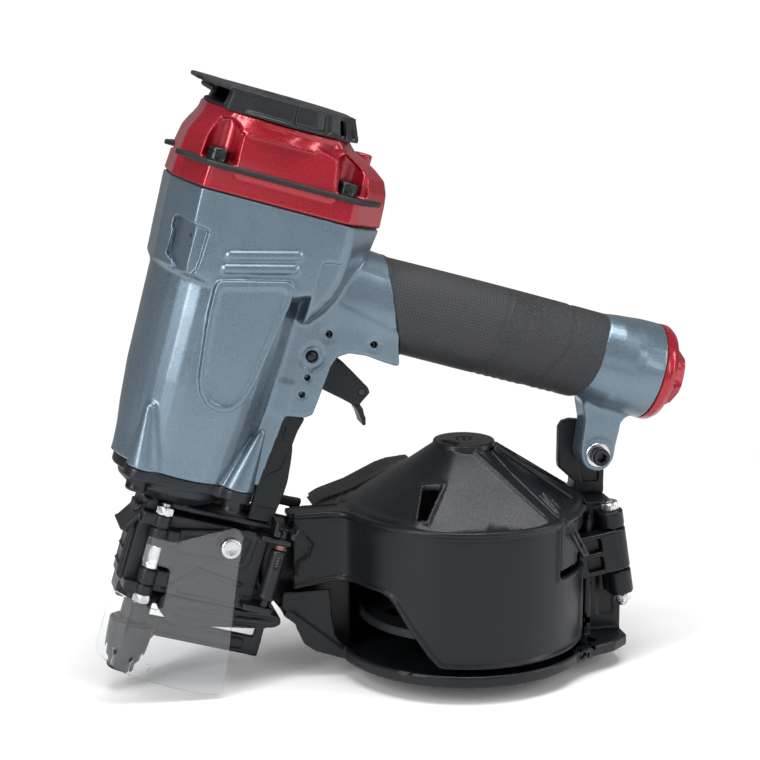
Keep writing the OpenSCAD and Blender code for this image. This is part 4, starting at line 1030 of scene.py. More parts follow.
def build_trigger():
    f = Field((38, -10, 142), (88, 10, 184), 0.5)
    side = [(42.2, 178), (46, 180.6), (50.5, 180.0), (59.2, 175.0), (62.8, 174.6), (67.8, 172.4), (79.6, 165.4), (81.3, 163.1), (77.6, 155.6), (70.7, 156.4), (58.5, 159.0), (52, 163), (44, 170)]
    f.add(slab(side, -8.2, 8.2, 0.7, 0.9))
    f.cut(box((36, -5.6, 161.0), (80.4, 5.6, 200), 0.4), 0.3)
    f.cut(box((69.5, -5.6, 158.2), (80.6, 5.6, 172), 0.4), 0.3)
    # finger hook: a curved tongue that thins towards its tip
    arc = [(70.7, 158.0), (76.0, 156.4), (79.4, 153.4), (82.2, 149.6), (83.3, 147.2)]
    for a, b, r1, r2 in zip(arc, arc[1:], (1.5, 1.55, 1.35, 1.1), (1.55, 1.35, 1.1, 0.95)):
        g = lambda x, y, z, a=a, b=b, r1=r1, r2=r2: ball_cone((a[0], 0, a[1]), (b[0], 0, b[1]), r1, r2)(x, 0 * y, z)
        f.add(lambda x, y, z, g=g: prism(g(x, y, z), y, 7.4 - 0.09 * np.maximum(x - 76, 0) ** 1.2, 0.5), 0.7)
    f.cut(cyl("y", (46, 175), 2.56, -20, 20, 0.1), 0.2)
    f.cut(cyl("y", (77, 162.6), 1.6, -20, 20, 0.1), 0.15)
    f.cut(less(cyl("y", (77, 162.6), 3.1, 7.75, 20, 0.1), lambda x, y, z: 7.75 - np.abs(y) + 0 * x), 0.15, sym=True)
    f.clip(lambda x, y, z: (40.7 - x) + 0 * y + 0 * z, 0.3)
    done(f.mesh("trigger_moulding", DRIVE, 0.7), "trigger", PLAST, "trigger_plastic", "trigger")


build_housing()
build_cap()
build_skids()
build_screws()
build_deflector()
build_deflector_bolt()
build_grip()
build_tail()
build_trigger()


# ------------------------------------------------------------------ magazine (row frame)
def wedge(a0, a1):
    """the angle from a0 to a1 round the drum's axis"""
    a0, a1 = math.radians(a0), math.radians(a1)
    pick = np.minimum if a1 - a0 > math.pi else np.maximum
    return lambda x, y, z: pick(math.sin(a0) * x - math.cos(a0) * y, math.cos(a1) * y - math.sin(a1) * x) + 0 * z


def on_hinge(fn):
    """a shape drawn in the frame of the cover's hinge"""
    c, s = math.cos(TILT), math.sin(TILT)
    return lambda x, y, z: fn((x - 75.8) * c - (z - 49.5) * s, y + 15, (x - 75.8) * s + (z - 49.5) * c)


def in_drive(fn):
    """a shape drawn in the drive-line frame"""
    return lambda x, y, z: fn(CO * (x + 173.4) - SI * (z - 2), y, SI * (x + 173.4) + CO * (z - 2))


def allof(*fns):
    def fn(x, y, z):
        d = fns[0](x, y, z)
        for g in fns[1:]:
            d = smax(d, g(x, y, z))
        return d
    return fn


CONE = [(0, 60), (60.2, 60), (60.4, 75.6), (57.6, 78.7), (54.2, 79.9), (50.5, 82.4), (30, 95), (15.5, 105.6), (13.6, 107.4), (11.6, 107.9), (0, 107.9)]


def top_shell(facet):
    body = turned("z", (0, 0), CONE, 0.5)

    def fn(x, y, z):
        o = body(x, y, z)
        if facet:                                         # flat facet on the cone, between two folds
            o = smax(o, -0.038 * x - 0.622 * y + 0.782 * z - 91.3, 0.4)
        return smax(smax(o, -(o + 2.4)), 73.2 - z)
    return fn


def build_base():
    f = Field((-104, -64, 0), (84, 64, 108.5), 0.85)
    flat = dict(lo=(None, None, None), hi=(None, None, 8))
    f.add(cyl("z", (0, 0), 62.9, 0, 3, 0.6), **flat)
    f.add(plan([(48, -41), (58, -33), (73, -26.4), (82, -18), (82, 22), (52, 36), (40, 0)], 0, 6, 0.8, 1.6), 0.6, **flat)
    rim = less(cyl("z", (0, 0), 62.9, 0, 6, 0.7), cyl("z", (0, 0), 60.65, 2.4, 12, 0.1))
    f.add(less(rim, allof(wedge(160, 176), lambda x, y, z: 2.9 - z + 0 * x + 0 * y)), **flat)
    f.cut(allof(lambda x, y, z: np.hypot(x, y) - 61.4 + 0 * z, lambda x, y, z: 4.4 - z + 0 * x + 0 * y, wedge(-118, -40)), 0.2, **flat)
    f.cut(lambda x, y, z: np.hypot(np.hypot(x, y) - 63.0, z - 3.1) - 0.42, 0.1, **flat)
    f.cut(allof(lambda x, y, z: 61.9 - np.hypot(x, y) + 0 * z, lambda x, y, z: 5.0 - z + 0 * x + 0 * y, wedge(-133, -128)), 0.2, **flat)
    # rear part of the drum's wall and its top
    wallr = less(cyl("z", (0, 0), 60, 2, 74.5, 0.2), cyl("z", (0, 0), 57.6, 1, 90, 0.2))
    top = top_shell(False)
    lower = lambda z0: (lambda x, y, z: z - z0 + 0 * x + 0 * y)
    f.add(less(less(less(less(allof(wallr, wedge(-52.5, 171)), allof(wedge(108, 172), lambda x, y, z: 71.3 - z + 0 * x + 0 * y)), allof(wedge(-60, 1), lower(51))), allof(wedge(-34, 1), lower(67))), allof(wedge(100, 108.1), lambda x, y, z: 71.3 - z + 0 * x + 0 * y)), 0.2)
    f.add(less(allof(top, wedge(-52.5, 108)), cyl("z", (0, 0), 16, 60, 120, 0.1)), 0.2, lo=(None, None, 70), hi=(None, None, None))
    f.add(allof(lambda x, y, z: np.hypot(np.hypot(x, y) - 60.1, z - 75.7) - 1.5, wedge(-50, 107)), 0.8, lo=(None, None, 72), hi=(None, None, 80))
    # double ridge running down the cone and over the rim towards the hinge
    for path in (((31.0, -33.6, 87.0), (38.6, -45.0, 76.2), (43.6, -43.4, 68.0), (54.2, -29.4, 52.6)), ((35.6, -33.0, 84.0), (42.6, -41.8, 74.8), (47.2, -38.6, 67.0), (56.8, -25.8, 53.6))):
        for a, b in zip(path, path[1:]):
            f.add(ball_cone(a, b, 1.15, 1.15), 0.7, lo=(26, -50, 48), hi=(62, -20, 92))
    f.add(ball_cone((33.4, -33.6, 85.0), (55.4, -27.8, 53.4), 2.0, 2.2), 1.0, lo=(26, -50, 48), hi=(62, -20, 92))
    # a raised rib beside the seam on the cone
    f.add(ball_cone((13.5, -10.0, 106.0), (46.5, -29.0, 83.0), 1.1, 1.3), 0.8, lo=(8, -34, 78), hi=(52, 0, 110))
    f.add(ball_cone((17.5, 3.0, 104.0), (54.0, 2.0, 80.6), 1.0, 1.2), 0.8, lo=(8, -6, 76), hi=(60, 8, 110))
    # far wall, floor and lower near wall of the nails' way
    f.add(slab([(-102, 75), (-102, 37), (-92, 24), (-63, 0), (-56, 0), (-56, 71.3), (-61.5, 71.3), (-61.5, 75)], 6, 9, 0.4, 0.6), lo=(None, 2, None), hi=(-52, 13, 80))
    f.add(slab([(-93, 25), (-62, 0), (-58, 0), (-58, 2.6), (-91.5, 27.6)], -8, 9, 0.3), lo=(None, -12, None), hi=(-52, 13, 32))
    near = [(-93.6, 42.0), (-93.9, 29.2), (-90.6, 26.6), (-88.0, 24.6), (-86.2, 17.6), (-82.4, 9.4), (-76.5, 5.2), (-62, 0.2), (-57, 0.2), (-57, 4.6), (-63, 8), (-66.5, 13), (-68.2, 22), (-69.4, 37.4), (-69.6, 41.6)]
    f.add(slab([(p[0], min(p[1], 37.0)) for p in near], -8, -5.5, 0.4, 0.6), 0.3, lo=(None, -12, None), hi=(-52, -2, 44))
    f.add(slab([(-91, 25.6), (-62, 1.2), (-57.5, 1.2), (-57.5, 4.2), (-61, 4.4), (-89.8, 28.2)], -9.2, -5.5, 0.5), 0.5, lo=(None, -12, None), hi=(-52, -2, 32))
    f.cut(allof(lambda x, y, z: np.abs(np.hypot(x + 86.2 - 2.6, z - 31.4) - 3.6) - 0.22 + 0 * y, lambda x, y, z: y + 7.65 + 0 * x + 0 * z), 0.1, lo=(-92, -10, 24), hi=(-76, -6, 40))
    # ribs on the far wall
    for z0 in (20, 38, 56):
        f.add(box((-98 + (56 - z0) * 0.5, 8.6, z0), (-60, 10.6, z0 + 1.6), 0.5), 0.4, lo=(None, 6, z0 - 2), hi=(-56, 12, z0 + 4))
    # block that carries the hinge, with a sunk panel on its near face
    f.add(box((58.6, -7.5, 3), (82, 21, 20), 1.0), 0.4, lo=(54, -12, None), hi=(None, 26, 24))
    f.add(slab([(60.6, 8), (82, 8), (76.6, 73.6), (60.6, 73.6)], -7.5, 21, 1.0, 1.0), 0.4, lo=(54, -12, None), hi=(None, 26, 78))
    f.cut(slab([(69.6, 14), (78.0, 14), (75.4, 44), (69.0, 44)], -12, -6.7, 0.2, 1.2), 0.2, lo=(62, -12, None), hi=(None, -4, 50))
    f.add(slab([(59.8, 3), (63.5, 3), (63.5, 66), (61.5, 70), (59.8, 66)], -15.5, -6, 0.6, 0.6), 0.8, lo=(56, -20, None), hi=(68, -2, 74))
    for a, b in ((13.4, 22), (-22, -9.4)):
        f.add(on_hinge(either(cyl("z", (0, 0), 6.3, a, b, 0.7), box((-6.3, 0, a), (4, 10, b), 0.6), 0.5)), 0.5, lo=(64, -24, 22), hi=(84, 2, 76))
    f.add(on_hinge(cyl("z", (0, 0), 5.0, 20, 22.1, 0.2)), 0.1, lo=(64, -24, 66), hi=(84, 2, 76))
    f.cut(on_hinge(cyl("z", (0, 0), 2.53, -40, 40, 0.05)), 0, lo=(62, -24, None), hi=(None, 0, None))
    f.cut(on_hinge(box((-9, -12, -8.8), (12, 6.9, 12.8), 0.1)), 0, lo=(62, -32, 30), hi=(None, 2, 70))
    # saddle under the bracket, its two screw holes, and the ribs behind it
    for x0 in (63.0, 70.2):
        f.add(slab([(x0, 20), (x0 + 1.8, 20), (x0 + 1.8, 60), (x0, 66)], 20.6, 24.6, 0.4), 0.6, lo=(58, 18, 16), hi=(78, 28, 70))
    for x0 in (66, 74):
        f.cut(cyl("z", (x0, 16.5), 1.6, 58, 80, 0.05), 0, lo=(x0 - 4, 12, 58), hi=(x0 + 4, 21, 78))
    # room for the nose, the tray's post, and the two screws at the nose
    f.cut(cyl("z", (0, 0), 3.03, 1.4, 12, 0.05), 0, lo=(-6, -6, None), hi=(6, 6, 14))
    f.cut(in_drive(box((40, -20, 86.1), (62.3, 20, 100), 0.1)), 0, lo=(-112, -22, 60), hi=(-72, 22, 90))
    f.cut(in_drive(either(cyl("y", (56, 50), 2.06, 0, 20, 0.05), cyl("y", (56, 80), 2.06, 0, 20, 0.05))), 0, lo=(None, 2, 24), hi=(-84, 14, 72))
    f.clip(lambda x, y, z: 0.02 - z + 0 * x + 0 * y, lo=(None, None, None), hi=(None, None, 4))
    done(f.mesh("magazine_base_moulding", ROW, 0.5), "gun", PLAST, "magazine_plastic", "magazine_base")


LIP = [(-140, -10), (-23.6, -10), (-25.0, 6.4), (-26.6, 9.6), (-30.9, 14.7), (-38.8, 26.9), (-45.4, 38.6), (-47.4, 41.0), (-50.2, 42.4), (-57.8, 42.2), (-70, 41.2), (-90, 38.2), (-140, 38)]


def build_cover():
    f = Field((-90, -64, 6), (85, 58, 108.5), 0.8)

    def skin(x, y, z):
        """outer face: the drum, running in an S into the straight wall in front"""
        bar2 = np.maximum(np.abs(x + 66) - 30, np.abs(y - 3) - 11)
        return smin(np.hypot(x, y) - 60.0 + 0 * z, bar2 + 0 * z, 11)

    def edge(x, y, z):
        """how far inside the wall's free edge"""
        low = poly(x, z, LIP, 2.0)
        right = -(math.cos(math.radians(-20.5)) * y - math.sin(math.radians(-20.5)) * x)
        notch = smax(wedge(-53.6, 10)(x, y, z), 47.8 - z, 3)
        return smin(smin(smin(low + 0 * y, z - 8.6 + 0 * x, 2.0), right + 0 * z, 9.0), notch, 2.0)

    def wallf(x, y, z):
        o = skin(x, y, z)
        return smax(smax(smax(o, -(o + 2.4)), -edge(x, y, z), 0.5), np.maximum(np.maximum(z - 75.6, y + 5.5), -88 - x))
    f.add(wallf, lo=(None, None, None), hi=(60, 0, 80))
    # bead along the free edges, and the rolled rim with a second line under it
    bead = lambda x, y, z: smax(np.hypot(edge(x, y, z) - 1.15, skin(x, y, z) + 0.1) - 1.2, np.maximum(np.maximum(z - 75.4, y + 5.6), -88 - x))
    f.add(bead, 0.35, lo=(None, None, None), hi=(60, 0, 78))
    limit = allof(wedge(175, 306.6), lambda x, y, z: y + 5.6 + 0 * x + 0 * z, lambda x, y, z: -88 - x + 0 * y + 0 * z)
    f.add(allof(lambda x, y, z: np.hypot(skin(x, y, z) - 0.1, z - 75.9) - 1.55, limit), 0.8, lo=(None, None, 70), hi=(48, 0, 80))
    f.cut(allof(lambda x, y, z: np.hypot(skin(x, y, z) - 0.15, z - 72.9) - 0.5, limit), 0.3, lo=(None, None, 70), hi=(48, 0, 80))
    # conical top
    f.add(allof(top_shell(True), wedge(109.5, 306.6)), 0.3, lo=(None, None, 70), hi=(None, None, None))
    f.add(cyl("z", (0, 0), 9, 103.4, 108, 0.8), 0.6, lo=(-14, -14, 100), hi=(14, 14, None))
    f.add(less(cyl("z", (0, 0), 15.4, 104.2, 107.9, 0.8), cyl("z", (0, 0), 13, 95, 106, 0.2)), 0.8, lo=(-18, -18, 100), hi=(18, 18, None))
    f.clip(less(lambda x, y, z: -1.0 + 0 * x + 0 * y + 0 * z, allof(wedge(-53.4, 109.5), lambda x, y, z: 15.6 - np.hypot(x, y) + 0 * z)), lo=(None, None, 78), hi=(None, None, None))
    # flat ledge round the foot of the cone on the side of the nose
    f.add(allof(plan([(-90, 5.6), (-90, -8.6), (-57, -8.6), (-56, -22), (-50, -33), (-38, -45), (-30, -38), (-40, 0), (-46, 20), (-40, 41), (-57, 28), (-62, 14), (-66, 5.6)], 73.6, 76.6, 0.6, 1.5), lambda x, y, z: skin(x, y, z) + 0.4), 0.8, lo=(None, None, 70), hi=(None, None, 80))
    # shoulder behind the cone, and the step beside it
    f.add(both(slab([(-71, 60), (-71, 72.6), (-66, 75.4), (-52, 80), (-36, 87.6), (-30, 89.4), (-18.5, 90.6), (-18.5, 70), (-40, 70)], 12, 43, 1.2, 1.5), lambda x, y, z: 71.9 - z + 0 * x + 0 * y, 0.3), 2.0, lo=(None, 26, 68), hi=(-12, 50, 96))
    f.add(both(slab([(-75, 60), (-75, 71.6), (-60, 76.6), (-44, 79.4), (-40, 70)], 8, 37, 1.0, 1.2), lambda x, y, z: 71.9 - z + 0 * x + 0 * y, 0.3), 2.0, lo=(None, 14, 68), hi=(-34, 42, 84))
    # raised line of the seam on the ledge
    for a, b in (((-86, 4.4, 76.4), (-64, 5.2, 76.6)), ((-64, 5.2, 76.6), (-58.5, 18, 76.8)), ((-58.5, 18, 76.8), (-47, 36, 77.2))):
        f.add(ball_cone(a, b, 0.8, 0.8), 0.4, lo=(None, 0, 74), hi=(-40, 44, 80))
    # window in the cone beside the facet, with its frame
    win = [(-26.6, -23.8), (-18.6, -28.8), (-30.3, -44.4), (-33.9, -42.2)]
    f.add(allof(plan(shrink(win, -1.9), 70, 110, 0.3, 0.5), lambda x, y, z: turned("z", (0, 0), CONE, 0.5)(x, y, z) - 0.55, lambda x, y, z: 78.6 - z + 0 * x + 0 * y, lambda x, y, z: -(turned("z", (0, 0), CONE, 0.5)(x, y, z) + 2.4)), 0.3, lo=(-40, -50, 74), hi=(-12, -18, 100))
    f.cut(plan(win, 60, 120, 0.1, 0.5), 0.3, lo=(-40, -50, 72), hi=(-12, -18, 102))
    # groove from the plateau to the rim, oval slot and screw recess on the plateau
    f.cut(ball_cone((-1.5, -16.6, 104.8), (24.6, -50.3, 79.4), 0.7, 0.9), 0.4, lo=(-6, -56, 74), hi=(30, -10, 108))
    f.add(ball_cone((1.4, -15.6, 105.2), (28.0, -48.2, 79.6), 0.8, 0.9), 0.6, lo=(-6, -56, 74), hi=(34, -10, 108))
    f.cut(ball_cone((-10.6, -2.5, 108.6), (-6.4, -9.2, 108.6), 2.0, 2.0), 0.3, lo=(-18, -16, 104), hi=(0, 4, None))
    f.cut(cyl("z", (0, 0), 3.6, 106.6, 120, 0.1), 0.3, lo=(-6, -6, 104), hi=(6, 6, None))
    f.cut(cyl("z", (0, 0), 2.0, 90, 120, 0.1), 0.0, lo=(-6, -6, 98), hi=(6, 6, None))
    # front wall and roof of the nails' way
    f.add(slab([(-88, 73.5), (-57.6, 73.5), (-57.6, 76), (-88, 76)], -8, 5.6, 0.4), 0.3, lo=(None, -12, 70), hi=(-50, 9, 80))
    # curved outline round the nose, raised on the wall
    for a, b in (((-88, -8.3, 66), (-82.5, -8.3, 65.5)), ((-82.5, -8.3, 65.5), (-79, -8.3, 61)), ((-79, -8.3, 61), (-80.5, -8.3, 55.5)), ((-80.5, -8.3, 55.5), (-86, -8.3, 52)), ((-86, -8.3, 52), (-87, -8.3, 46))):
        f.add(ball_cone(a, b, 0.6, 0.6), 0.3, lo=(None, -12, 42), hi=(-74, -5, 70))
    # hinge arm with two pockets, and the knuckle
    f.add(on_hinge(either(cyl("z", (0, 0), 6.3, -8.6, 12.6, 0.6), box((-21, -6.4, -8.6), (0, 2.4, 12.6), 0.7), 0.8)), 0.5, lo=(50, -26, 34), hi=(None, 2, 66))
    for z0 in (-6.4, 3.2):
        f.cut(on_hinge(box((-17.0, -12, z0), (-8.6, -1.9, z0 + 7.0), 0.5)), 0.3, lo=(52, -26, 36), hi=(72, -10, 64))
    f.cut(on_hinge(cyl("z", (0, 0), 2.57, -40, 40, 0.05)), 0, lo=(62, -24, 30), hi=(None, -6, 72))
    # nothing inside the coil's room
    f.cut(cyl("z", (0, 0), 57.4, -5, 73, 0.1), 0, lo=(-58, -58, None), hi=(58, 58, 74))
    done(f.mesh("magazine_cover_moulding", ROW, 0.5), "cover", PLAST, "magazine_plastic", "magazine_cover")


def build_magazine_metal():
    # hinge bolt: thread with a chamfer at both ends; nuts; post; tray
    H = HINGE
    bm = bmesh.new()
    prof = [(0, -28.9), (1.6, -28.9), (2.3, -28.2)]
    z = -28.0
    while z < -22.6:
        prof += [(2.42, z), (2.42, z + 0.2), (2.1, z + 0.45), (2.1, z + 0.6)]
        z += 0.8
    prof += [(2.45, -22.2), (2.45, 21.4)]
    z = 21.8
    while z < 26.8:
        prof += [(2.1, z), (2.1, z + 0.15), (2.42, z + 0.4), (2.42, z + 0.6)]
        z += 0.8
    prof += [(2.1, 27.2), (1.4, 27.45), (0, 27.45)]
    lathe(bm, prof, 32, H)
    done(from_bm("cover_hinge_stud", bm, None, 40), "gun", ZINC, "zinc", "cover_hinge_bolt")
    bm = bmesh.new()
    for z0, h in ((22.3, 4.0), (-26.3, 4.0)):
        hex_nut(bm, 4.9, h, 2.53, H @ Matrix.Translation((0, 0, z0)) @ Matrix.Rotation(0.35, 4, "Z"))
    done(from_bm("cover_hinge_lock_nuts", bm, None, 40), "gun", ZINC, "zinc", "cover_hinge_nuts")
    bm = bmesh.new()
    lathe(bm, [(0, 1.5), (2.6, 1.5), (3.0, 1.9), (3.0, 3.1), (7.6, 3.1), (8.0, 3.5), (8.0, 60), (7.7, 63.6), (6.6, 65.1), (0, 65.1)], 48, ROW)
    done(from_bm("tray_post_turned", bm, None, 40), "gun", PLAST, "black_plastic", "tray_post")
    f = Field((-53, -53, 15), (53, 53, 25), 0.6)
    f.add(cyl("z", (0, 0), 52, 19, 21.2, 0.4))
    f.add(less(cyl("z", (0, 0), 52, 19, 23.5, 0.5), cyl("z", (0, 0), 50.2, 20, 30, 0.1)), 0.4)
    f.add(cyl("z", (0, 0), 13, 16, 23.8, 0.6), 0.8)
    for k in range(6):
        a = math.radians(60 * k)
        f.cut(cyl("z", (32 * math.cos(a), 32 * math.sin(a)), 8, 10, 30, 0.1), 0.3)
        b = a + math.radians(30)
        f.add(both(ball_cone((13 * math.cos(b), 13 * math.sin(b), 21.2), (50 * math.cos(b), 50 * math.sin(b), 21.2), 1.0, 1.0), lambda x, y, z: 21 - z + 0 * x + 0 * y), 0.3)
    f.cut(cyl("z", (0, 0), 8.06, 10, 40, 0.1))
    done(f.mesh("coil_tray_moulding", ROW, 0.5), "tray", PLAST2, "magazine_plastic", "coil_tray")
    # bracket between the base and the lug
    f = Field((51, 7, 73), (77, 21.5, 114), 0.42)
    out = [(61, 73.7), (61, 80), (52.4, 88), (52, 91), (52, 109), (54, 112), (58, 113), (62, 112.6), (74, 104), (76.5, 96), (76.4, 73.7)]
    f.add(slab(out, 7.7, 12.6, 0.6, 1.0))
    f.add(box((60.8, 7.7, 73.7), (76.4, 20.8, 77), 0.5), 0.5)
    f.cut(slab([(64.5, 80), (73.4, 80), (73.8, 89.6), (62.6, 89.6)], 0, 9.2, 0.3, 1.2), 0.3)
    f.add(slab([(60.9, 76), (63.1, 76), (63.1, 84), (60.9, 86.5)], 12, 19.6, 0.4), 0.4)
    f.cut(cyl("y", (67.5, 98), 4.12, 0, 30, 0.1), 0.15)
    for x0 in (66, 74):
        f.cut(cyl("z", (x0, 16.5), 1.56, 60, 90, 0.05), 0)
    done(f.mesh("magazine_bracket_stay", ROW, 0.6), "gun", PLAST, "black_plastic", "magazine_bracket")
    bm = bmesh.new()
    for x0 in (66, 74):
        socket_head(bm, 2.3, 2.4, 1.25, ROW @ Matrix.Translation((x0, 16.5, 77.05)) @ Matrix.Rotation(x0, 4, "Z"), 1, 1.46, 14.8, 36)
    done(from_bm("bracket_socket_screws", bm, None, 40), "gun", BLUED, "dark_pin", "bracket_screws")
    # bolt through the lug, on a bright washer
    m = ROW @ Matrix.Translation((67.5, -7.6, 98)) @ Matrix.Rotation(math.pi / 2, 4, "X")
    bm = bmesh.new()
    socket_head(bm, 4.45, 6.0, 2.5, m @ Matrix.Translation((0, 0, 1.3)) @ Matrix.Rotation(0.4, 4, "Z"), 1, 3.97, 26.5)
    done(from_bm("lug_socket_bolt", bm, None, 40), "gun", BLUED, "black_screw", "bracket_bolt")
    bm = bmesh.new()
    lathe(bm, [(4.05, 0.03), (6.0, 0.03), (6.3, 0.25), (6.3, 0.95), (6.0, 1.22), (4.05, 1.22)], 48, m, closed=True)
    done(from_bm("lug_washer", bm, None, 40), "gun", ZINC, "zinc")
    bm = bmesh.new()
    hex_nut(bm, 7, 5, 4.02, ROW @ Matrix.Translation((67.5, 12.7, 98)) @ Matrix.Rotation(-math.pi / 2, 4, "X"))
    done(from_bm("lug_bolt_nut", bm, None, 40), "gun", BLUED, "dark_pin", "bracket_nut")
    bm = bmesh.new()
    for z0 in (50, 80):
        socket_head(bm, 3.8, 3, 1.75, DRIVE @ Matrix.Translation((56, 13.05, z0)) @ Matrix.Rotation(-math.pi / 2, 4, "X"), 1, 1.97, 6.6, 36)
    done(from_bm("magazine_socket_screws", bm, None, 40), "gun", BLUED, "dark_pin", "magazine_screws")
    # small screw in the plateau of the cover
    bm = bmesh.new()
    socket_head(bm, 3.2, 1.5, 1.4, ROW @ Matrix.Translation((0, 0, 106.62)), 0, 1.9, 4, 36)
    done(from_bm("cover_plateau_screw", bm, None, 40), "cover", BLUED, "black_screw")


# ------------------------------------------------------------------ nose (drive-line frame)
HX, HY = -2.5, -17.0


def build_nose():
    f = Field((-34, -33, 17.5), (70, 33, 106.5), 0.72)
    low = dict(lo=(-34, -33, 84), hi=(36, 33, None))
    # wavy flange with four bosses, and a shallow dome under it
    f.add(cyl("z", (0, 0), 30.6, 100.4, 105.9, 0.7), **low)
    for x0, y0 in ((-20.5, 24), (26.6, 24)):
        f.add(cyl("z", (x0, y0), 7.9, 100.4, 105.9, 0.7), 5.0, lo=(x0 - 16, None, 92), hi=(x0 + 16, None, None), sym=True)
    f.add(turned("z", (0, 0), [(0, 88.6), (12, 88.8), (20, 91.4), (26.5, 96.2), (27.5, 101.0), (0, 101.0)], 1.0), 1.2, lo=(-30, -30, 86), hi=(30, 30, 102))
        # block, tube and walls
    f.add(box((-12.5, -3.6, 36), (12, 16, 92), 1.6), 0.4)
    f.add(box((-12.5, -12, 44), (-4.9, 16, 84), 0.8), 0.5)
    f.add(turned("z", (0, 0), [(0, 18.5), (6.4, 18.5), (7.0, 19.2), (7.0, 36), (8.6, 40), (8.6, 43.4), (0, 43.4)], 0.2), 0.5, lo=(-12, -12, None), hi=(12, 12, 46))
    f.add(box((8, 5, 36), (46, 13, 92), 0.8), 0.4)
    f.add(box((46, 9.05, 36), (64, 13, 89.8), 0.4), 0.3)
    f.add(box((-12.5, -12, 86.2), (62, 13, 89.2), 0.5), 0.4)
    f.add(box((51, -22.5, 86.2), (62, -11, 89.2), 0.5), 0.4)
    # turned-up lips on the latch's keeper
    f.add(slab([(51.0, 86.4), (53.0, 86.4), (52.2, 93.0), (50.6, 93.4)], -22.4, -11.6, 0.4), 0.4, lo=(48, -26, 84), hi=(66, -8, 98))
    f.add(slab([(60.2, 86.4), (62.0, 86.4), (63.4, 91.6), (61.8, 92.2)], -22.4, -12.6, 0.4), 0.4, lo=(48, -26, 84), hi=(66, -8, 98))
    # lower rail with ribs along it
    f.add(slab([(8, 36.5), (14, 31.4), (24, 30.8), (60, 36.8), (67.4, 38.8), (69.4, 41.2), (68.8, 44.2), (62, 45.4), (8, 43.6)], -12, 13, 0.6, 0.8), 0.5)
    for z0 in (34.6, 38.8):
        f.cut(lambda x, y, z, z0=z0: np.maximum(np.abs(z - z0 - 0.095 * (x - 20)) - 0.7, np.abs(y + 12.4) - 1.4) + 0 * x + np.where(x > 16, 0, 4), 0.2, lo=(12, -16, 30), hi=(None, -9, 46))
    f.add(ball_cone((14, -8.4, 45.5), (26, -8.4, 43.8), 1.4, 1.0), 0.6, lo=(10, -12, 40), hi=(30, -5, 48))
    # webs between the rail and the block
    f.add(slab([(12, 43), (34, 43), (12, 60)], 2.0, 6, 0.5), 0.5, lo=(8, 0, 40), hi=(40, 8, 64))
    # knuckles of the door hinge
    for a, b in ((44, 49), (77.8, 84)):
        f.add(cyl("z", (HX, HY), 4.4, a, b, 0.5), 0.2, lo=(-10, -24, a - 2), hi=(4, -8, b + 2))
        f.add(box((-12.5, -18.5, a), (-4.5, -9, b), 0.6), 0.4, lo=(-16, -22, a - 2), hi=(0, -6, b + 2))
    # folded front tab
    f.add(slab([(-7, 91), (-19.5, 72.5), (-17.8, 70.6), (-12, 79), (-4, 86)], -13, 11, 0.5, 0.5), 0.5, lo=(-24, -18, 66), hi=(0, 16, 94))
    f.add(box((-20.4, -13, 70.8), (-17.6, 11, 72.6), 0.5), 0.3, lo=(-24, -18, 66), hi=(0, 16, 78))
    f.add(slab([(-12.2, 84), (-15.2, 84), (-15.2, 47.6), (-12.2, 44.6)], -6, 8, 0.5), 0.4, lo=(-20, -10, 40), hi=(-8, 12, 88))
    for z0 in (52, 60, 68):
        f.add(box((-16.0, -4.5, z0), (-14.6, 6.5, z0 + 1.8), 0.4), 0.3, lo=(-20, -10, z0 - 2), hi=(-8, 12, z0 + 4))
    # feed cylinder
    f.add(cyl("x", (22, 65), 9, 34, 62, 0.6), 0.5, lo=(30, 10, 54), hi=(66, None, 78))
    f.add(box((34, 12, 58), (62, 20, 72), 0.6), 0.8, lo=(30, 8, 54), hi=(66, None, 78))
    for x0 in (40, 46, 52, 58):
        f.cut(lambda x, y, z, x0=x0: np.hypot(np.hypot(y - 22, z - 65) - 9.1, x - x0) - 0.6 + np.where(y > 18, 0, 4), 0.2, lo=(x0 - 2, 14, 54), hi=(x0 + 2, None, 78))
    # ways: driver, nails, feed, bolts
    f.cut(cyl("z", (0, 0), 4.6, 0, 99, 0.1))
    f.cut(cyl("z", (0, 0), 5.0, 98, 110, 0.1))
    f.cut(box((2, -5, 44), (46, 5, 84.2), 0.3))
    f.cut(box((-4.5, -12.6, 44.2), (51, -4.7, 85.8), 0.2))
    f.cut(box((-4.6, -16.6, 49.0), (9, -12.4, 77.8), 0.1), 0, lo=(-8, -20, 46), hi=(10, -10, 80))
    f.cut(cyl("z", (HX, HY), 2.53, 40, 92, 0.05), 0, lo=(-8, -24, None), hi=(4, -10, None))
    f.cut(cyl("x", (22, 65), 6.06, 30, 90, 0.1), 0, lo=(26, 12, 54), hi=(None, None, 76))
    f.cut(box((11.5, 4, 58.5), (44, 14, 71.5), 0.2), 0)
    f.cut(box((33, 4, 61), (47, 21, 69), 0.2), 0)
    f.cut(box((54.4, -30, 85), (59.6, -14.4, 96), 0.2), 0.1, lo=(48, -32, 82), hi=(66, -8, 98))
    for x0, y0 in ((-20.5, 24), (26.6, 24)):
        f.cut(cyl("z", (x0, y0), 3.05, 90, 120, 0.05), 0, lo=(x0 - 5, None, 92), hi=(x0 + 5, None, None), sym=True)
    for z0 in (50, 80):
        f.cut(cyl("y", (56, z0), 2.06, 0, 20, 0.05), 0, lo=(52, 6, z0 - 4), hi=(60, 16, z0 + 4))
    done(f.mesh("nose_casting", DRIVE, 0.5), "gun", PHOS, "black_steel", "nose_body")


